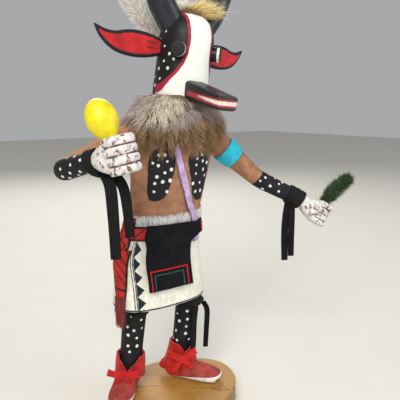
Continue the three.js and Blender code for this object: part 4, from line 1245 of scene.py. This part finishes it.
def make_cuff(name, suede):
    cuff, way = CUFF[name], math.radians(BOW[name]["facing"])
    low, high, flare = cuff["low"], cuff["high"], cuff["flare"]
    half, depth = cuff["notch"]
    rows = [(low, flare), (low + 2.5, flare - .5), ((low + high) / 2 + 1.5, 11), (high, 10.2)]
    form = rod([(leg_at(name, z), r) for z, r in rows], FRONT)
    a = turn(150)
    off = np.where(np.cos(a - way) > 0, np.abs(np.sin(a - way)) * 11, FAR)
    rim = high - depth * np.clip(1 - off / half, 0, 1) + 0.35 * np.sin(a * 5) + 0.2 * np.sin(a * 11 + 1)
    top = np.interp(np.minimum(rim, high - 0.1), [z for z, _ in rows], range(4))
    flap = np.exp(-(off / half - 0.8) ** 2 * 3) * 1.1

    def frill(t, angle):
        return (1 - t) ** 2 * (0.5 * np.sin(angle * 7 + 1) + 0.3 * np.sin(angle * 13)) + t ** 3 * flap

    def lining(t, angle):
        return frill(t, angle) - 1.4
    piece = band_mesh(f"boot_cuff_hide_{name}", form, 0.02, top, lining, frill, columns=150, rows=20)
    finish_piece(piece, suede, "red_suede", f"boot_cuff_{name}")


def make_bow(name, suede):
    bow = BOW[name]
    ahead = level(bow["facing"])
    across = np.cross(UP, ahead)
    middle = np.array([*LEG[name], bow["height"]]) + ahead * bow["out"]

    def line(side, offsets):
        return [middle + across * side * sx + UP * sz + ahead * sy for sx, sz, sy in offsets]
    parts = []
    for side in (-1, 1):
        P = ribbon(line(side, BOW_LOOPS[name]), 5.0, 0.9, UP - 0.3 * side * across, n=60, wave=0.2)[0]
        parts.append(tube(f"bow_loop_{name}_{side}", P))
        P = ribbon(line(side, BOW_TAIL), 4.2, 0.9, across + UP * side * 0.7, n=30, taper=0.85, wave=0.2)[0]
        parts.append(tube(f"bow_tail_{name}_{side}", P))
    knot = Limb([(*(middle + UP * h), r, r * 0.85, 2.6) for h, r in BOW_KNOT], ahead)
    parts.append(tube(f"bow_knot_{name}", rings(knot, 30, 36)[2]))
    finish_piece(join_pieces(f"boot_bow_hide_{name}", parts), suede, "red_suede", f"boot_bow_{name}")


# ---- Fur and feathers -------------------------------------------------------------------------------------


# The ruff's height, half width and half depth.
RUFF_ROWS = ((194, 30, 20), (199, 36, 25), (207, 39, 28), (215, 37.5, 27), (221, 33, 24.5), (226, 26.5, 21.5),
             (228, 23, 20))


def ruff_axis(z):
    return axis(z) + np.array([-3, -1, 0])


def ruff_tint_and_light(z, deg, shade):
    """Lilac-grey high on the sides, bright cream on the right front, golden and dark brown below: partly the
    fur's own colours and partly painted light, paler on top and brightest on the side turned to the key lamp
    and the camera.
    """
    # Partly painted light: the tint grows paler higher up, and the bright cream is centred on the side turned
    # to the key lamp and the camera.
    high = np.clip((z - 209) / 8, 0, 1) * np.clip(np.abs(deg + 36) / 40, 0.35, 1)
    lamp_side_cream = np.exp(-((deg + 38) / 34) ** 4) * np.clip((z - 207) / 7, 0, 1)
    tint = shade + (0.68 - shade) * high
    return tint + (0.94 - tint) * lamp_side_cream


def ruff_hair():
    browns = [(0.06, 0.034, 0.015), (0.31, 0.18, 0.075), (0.46, 0.31, 0.155)]
    pales = [(0.40, 0.32, 0.33), (0.66, 0.58, 0.50), (0.98, 0.91, 0.76)]
    return hair("ruff_hair", browns + pales, tint="tint", rough=0.8, sheen=0.1, root_shade=0.58)


def make_ruff():
    form = Upright(ruff_axis, [(z, wide, deep, 2.1) for z, wide, deep in RUFF_ROWS])
    # Locks of hair that lean together, each with its own length and shade.
    locks, n = 620, 22500
    lock = rng.integers(0, locks, n)
    lock_z, lock_a = rng.uniform(195, 228, locks), rng.uniform(0, 2 * math.pi, locks)
    z = np.clip(lock_z[lock] + rng.normal(0, 1.3, n), 195, 228)
    a = lock_a[lock] + rng.normal(0, 0.055, n)
    depth = rng.uniform(4.5, 8.5, n)
    roots = skin(form, z, a, -depth)
    out = unit(skin(form, z, a, 2.0) - skin(form, z, a, -2.0))
    rise = np.clip((z - 211) / 17, -1, 1)
    around = unit(skin(form, z, a + 0.02) - skin(form, z, a - 0.02))
    lean, hang = rng.normal(0, 0.34, locks), rng.uniform(0.15, 0.75, locks)
    reach = rng.uniform(0.2, 1.0, locks)
    gather = (lock_a[lock] - a) * 3.2
    ways = (out + UP * (0.42 * rise - hang[lock])[:, None] + around * (lean[lock] + gather)[:, None]
            + rng.normal(size=(n, 3)) * 0.12)
    lengths = depth - 2.4 + 1.6 + 5.2 * reach[lock] * rng.uniform(0.75, 1.0, n)
    shade = rng.random(locks)[lock] * 0.36 + rng.random(n) * 0.12
    tint = ruff_tint_and_light(z, np.degrees(signed(a)), shade) + rng.normal(0, 0.04, n)
    fur = strands("ruff_fur", roots, ways, lengths, rng.uniform(0.26, 0.46, n),
                  -UP * 0.35 + rng.normal(size=(n, 3)) * 0.1, 3, np.clip(tint, 0, 1))
    S, A = np.meshgrid(np.linspace(195, 227.6, 50), turn(90), indexing="ij")
    under = tube("ruff_pelt", skin(form, S, A, -4.6))
    pelt = painted("pelt_paint", (0.14, 0.10, 0.065), rough=0.95, mottle=0.4, blotch=5, spec=0.1)
    finish_piece(fur, ruff_hair(), "fur", "fur_ruff")
    finish_piece(under, pelt, "fur", "fur_ruff")


SWEEP = np.array([0.802, -0.598, 0])  # the way the crown's down is brushed
# Kinds of down: count, radius, middle along the sweep, lift, sweep, spread, shortest and longest, tints.
DOWN = ((1800, 10.0, 0, 0.9, 0.1, 0.75, (3, 6), (0.0, 0.3)),
        (4200, 7.5, 3.5, 0.62, 1.0, 0.28, (6, 13), (0.38, 0.75)),
        (3600, 6.0, -6.5, 1.0, -0.2, 0.5, (5, 10.5), (0.8, 1.0)),
        (150, 8.0, 3, 0.5, 1.0, 0.3, (13, 17), (0.8, 1.0)))


def crown_hair():
    browns = [(0.06, 0.035, 0.012), (0.26, 0.16, 0.045), (0.74, 0.50, 0.09)]
    pales = [(0.90, 0.74, 0.26), (0.90, 0.84, 0.66), (0.94, 0.92, 0.86)]
    return hair("crown_hair", browns + pales, tint="tint", rough=0.8, sheen=0.1, root_shade=0.5)


def make_tuft():
    roots, ways, lengths, tints = [], [], [], []
    for n, radius, shift, lift, sweep, spread, reach, tones in DOWN:
        r, a = radius * np.sqrt(rng.random(n)), rng.uniform(0, 6.283, n)
        flat = HEAD_ACROSS * (r * np.cos(a))[:, None] + HEAD_AHEAD * (r * np.sin(a))[:, None] + SWEEP * shift
        drop = -1.0 - 0.022 * (flat ** 2).sum(-1)
        roots.append(on_head(HEAD["height"]) + flat + HEAD_UP * drop[:, None])
        ways.append(HEAD_UP * lift + SWEEP * sweep + unit(flat) * 0.35 * spread
                    + rng.normal(size=(n, 3)) * spread * 0.55)
        lengths.append(rng.uniform(*reach, n))
        tints.append(rng.uniform(*tones, n))
    roots, ways = np.concatenate(roots), np.concatenate(ways)
    n = len(roots)
    down = strands("crown_down", roots, ways, np.concatenate(lengths), rng.uniform(0.22, 0.42, n),
                   SWEEP * 0.12 - UP * 0.1 + rng.normal(size=(n, 3)) * 0.2, 3, np.concatenate(tints))
    finish_piece(down, crown_hair(), "down", "crown_tuft")


# The plumes: root, tip, bow of the line between them, and width.
PLUMES = dict(
    plume_right_1=((1.4, 18.6, 262), (-22, 30, 297), (-4, 2, 5), 12),
    plume_right_2=((5.6, 21.3, 264), (-6, 34, 306), (-5, 3, 3), 13),
    plume_left=((26.8, 19.3, 262), (35, 24, 290), (4, 2, 2), 10),
)


def make_plume(name, root, tip, bow, width, barb, quill):
    t = np.linspace(0, 1, 30)[:, None]
    line = root + (tip - root) * t + bow * 4 * t * (1 - t)
    stem_rows = [(p, 0.55 * (1 - 0.8 * k)) for p, k in zip(line[::5], t[::5, 0])]
    stem = tube(f"{name}_quill", rings(rod(stem_rows, FRONT), 40, 12)[2])
    n = 3600
    s = rng.uniform(0.04, 0.985, n)
    at = root + (tip - root) * s[:, None] + bow * (4 * s * (1 - s))[:, None]
    ahead = unit(tip - root + bow * (4 * (1 - 2 * s))[:, None])
    face = unit(np.cross(ahead, np.array([0.6, 0.8, 0])))
    hand = np.where(rng.random(n) < 0.5, -1, 1)[:, None]
    fluff = np.clip(1 - s * 1.5, 0, 1)[:, None]
    ways = face * hand + ahead * (0.75 - 0.3 * fluff) + rng.normal(size=(n, 3)) * (0.22 + 0.4 * fluff)
    shape = np.sin(math.pi * np.clip(s, 0.02, 1) ** 0.75) ** 0.6
    lengths = width / 2 * (0.35 + 0.75 * shape) * rng.uniform(0.8, 1.05, n)
    barbs = strands(f"{name}_barbs", at, ways, lengths, np.full(n, 0.3), ahead * 0.3, 3)
    finish_piece(barbs, barb, "down", name)
    finish_piece(stem, quill, "down", name)


def make_plumes():
    whites = [(0.72, 0.68, 0.60), (0.86, 0.84, 0.79), (0.92, 0.91, 0.88)]
    barb = hair("plume_barb", whites, rough=0.7, sheen=0.1, root_shade=0.9)
    quill = painted("plume_quill", (0.62, 0.56, 0.42), rough=0.45, mottle=0.1)
    for name, (root, tip, bow, width) in PLUMES.items():
        make_plume(name, *(np.array(k, float) for k in (root, tip, bow)), width, barb, quill)


# ---- The log slice ----------------------------------------------------------------------------------------


# Cracks of the log: the way they run, the share of the radius where they start, and width.
CRACKS = ((0.55, 0.35, 0.5), (2.4, 0.15, 0.6), (4.05, 0.4, 0.45), (5.4, 0.2, 0.55), (3.3, 0.6, 0.4))


def log_wood():
    """Growth rings and cracks on the top, fibrous bark round the side."""
    p = Paint("log_wood")
    radial = p.add("ShaderNodeTexWave", wave_type="RINGS", rings_direction="Z", wave_profile="SAW")
    for key, value in (("Scale", 95), ("Distortion", 3.2), ("Detail", 3), ("Detail Scale", 1.2)):
        radial.inputs[key].default_value = value
    squash = p.add("ShaderNodeMapping")
    squash.inputs["Scale"].default_value = (1, 1.28, 0)
    p.link(p.where, squash.inputs["Vector"])
    p.link(squash.outputs["Vector"], radial.inputs["Vector"])
    broad, fine = p.noise(16, 4), p.noise(1.4, 4)
    ringed = p.mix(p.ramp(radial.outputs["Fac"], 0.2, 1.0), (0.43, 0.235, 0.05), (0.35, 0.175, 0.032))
    colour = p.mix(p.ramp(broad, 0.35, 0.7), ringed, (0.33, 0.155, 0.022))
    fibre = p.noise(1.2, 4, 0.6, (1, 1, 0.12))
    side = p.mix(p.ramp(fibre, 0.3, 0.7), (0.15, 0.085, 0.035), (0.34, 0.20, 0.08))
    colour = p.mix(p.ramp(p.attribute("side"), 0.5, -0.5), colour, side)
    crack = p.math("ADD", p.attribute("crack"), p.waver(2, 0.5))
    colour = p.mix(p.ramp(crack, 0.35, -0.1), colour, (0.05, 0.028, 0.014))
    p.link(colour, p.shader.inputs["Base Color"])
    p.link(p.ramp(fine, 0.3, 0.7, 0.42, 0.6), p.shader.inputs["Roughness"])
    p.bump([(fine, 0.05), (radial.outputs["Fac"], 0.05)], 0.6)
    return p.material


def make_base():
    a = turn(150)
    r = 1 + 0.018 * np.cos(3 * a + 0.6) + 0.012 * np.sin(5 * a)
    # Rings from the middle of the underside, up the side and back to the middle of the top.
    rings_at = [(0.02, 0)] + [(k, 0) for k in np.linspace(0.1, 0.98, 14)]
    rings_at += [(0.992, 0.15), (1, 0.8)] + [(1, z) for z in np.linspace(1.6, 12.4, 16)]
    rings_at += [(1, 13.2), (0.992, 13.85)] + [(k, 14) for k in np.linspace(0.98, 0.02, 70)]
    P = np.stack([np.stack([BASE["half_width"] * r * np.cos(a) * k, BASE["half_depth"] * r * np.sin(a) * k,
                            np.full(a.shape, z)], -1) for k, z in rings_at])
    k = np.array([q for q, _ in rings_at])[:, None]
    z = P[..., 2]
    bark = np.where((z > 1) & (z < 13), 1, 0) * (k >= 0.99)
    P[..., :2] *= (1 + bark * 0.006 * (np.sin(a * 31 + z) * 0.5 + np.sin(a * 67 + 2) * 0.3 - 0.6))[..., None]
    crack = np.full(z.shape, FAR)
    for way, start, wide in CRACKS:
        gap = np.abs(signed(a - way - 0.03 * np.sin(k * 14))) * 44 * k
        crack = np.minimum(crack, np.where(k > start, gap - wide * (k - start) * 1.6, FAR))
    top = z > 13.5
    P[..., 2] -= np.where(top & (crack < 0.4), 0.35 * np.clip(0.4 - crack, 0, 1), 0)
    piece = tube("log_slice", P, dict(crack=np.where(top, crack, FAR), side=np.where(z < 13, -1.0, 1.0)))
    finish_piece(piece, log_wood(), "base_slab", "base_slab")


# ---- Building it ----------------------------------------------------------------------------------------

make_ties(leather("tie_hide", (0.008, 0.008, 0.009), rough=0.75, worn=0.04, spec=0.1))
make_base()
make_torso()
for side in SIDES:
    make_leg(side)
    make_moccasin(side)
make_mask()
for side, sign in zip(SIDES, (-1, 1)):
    make_eye(side, sign)
for side, sign in zip(SIDES, (-1, 1)):
    make_ear(side, sign)
for side in SIDES:
    make_horn(side)
make_muzzle()
for side, size in zip(SIDES, (1.08, 0.95)):
    make_arm(side, size)
make_rattle()
make_sprig()
make_strap()
make_fringe()
red_hide = leather("red_hide", (0.42, 0.018, 0.014), [("inked", (0.010, 0.008, 0.010))], rough=0.6, worn=0.1)
make_belt(red_hide)
make_belt_knot(red_hide)
make_apron()
make_sash(red_hide)
make_armband()
wrap_hide = leather("wrap_hide", (0.008, 0.008, 0.009), rough=0.6, worn=0.06, spec=0.15)
for name, sizes in WRAPS.items():
    wrap_piece(name, *sizes, wrap_hide)
suede = leather("red_suede", (0.44, 0.012, 0.010), rough=0.85, sheen=0.15, grain=0.05, mottle=0.25, worn=0.06)
for side in SIDES:
    make_cuff(side, suede)
    make_bow(side, suede)
make_ruff()
make_tuft()
make_plumes()

# ---- Floor and light ------------------------------------------------------------------------------------


def make_floor():
    bpy.ops.mesh.primitive_plane_add(size=6, location=(0, 0, 0))
    floor = bpy.context.object
    floor.name = "floor"
    p = Paint("floor_paint")
    p.link(p.mix(p.noise(60, 2), (0.66, 0.64, 0.58), (0.70, 0.68, 0.62)), p.shader.inputs["Base Color"])
    p.shader.inputs["Roughness"].default_value = 0.7
    floor.data.materials.append(p.material)


def area_light(name, place, target, size, power, colour):
    lamp = bpy.data.lights.new(name, "AREA")
    lamp.size, lamp.energy, lamp.color = size, power, colour
    thing = bpy.data.objects.new(name, lamp)
    bpy.context.scene.collection.objects.link(thing)
    thing.location = place
    thing.rotation_euler = (Vector(target) - Vector(place)).to_track_quat("-Z", "Y").to_euler()


make_floor()
area_light("key", (-0.75, -0.75, 0.95), (0, 0, 0.17), 0.7, 17, (1.0, 0.97, 0.92))
area_light("fill", (0.75, -0.9, 0.5), (0, 0, 0.17), 0.9, 6, (0.93, 0.96, 1.0))
area_light("rim", (0.4, 0.9, 0.8), (0, 0, 0.2), 0.7, 7, (1.0, 0.98, 0.95))
world = bpy.data.worlds.new("studio")
bpy.context.scene.world = world
world.use_nodes = True
world.node_tree.nodes["Background"].inputs["Color"].default_value = (0.93, 0.94, 0.96, 1)
world.node_tree.nodes["Background"].inputs["Strength"].default_value = 0.42

bpy.context.scene.view_settings.view_transform = "Standard"
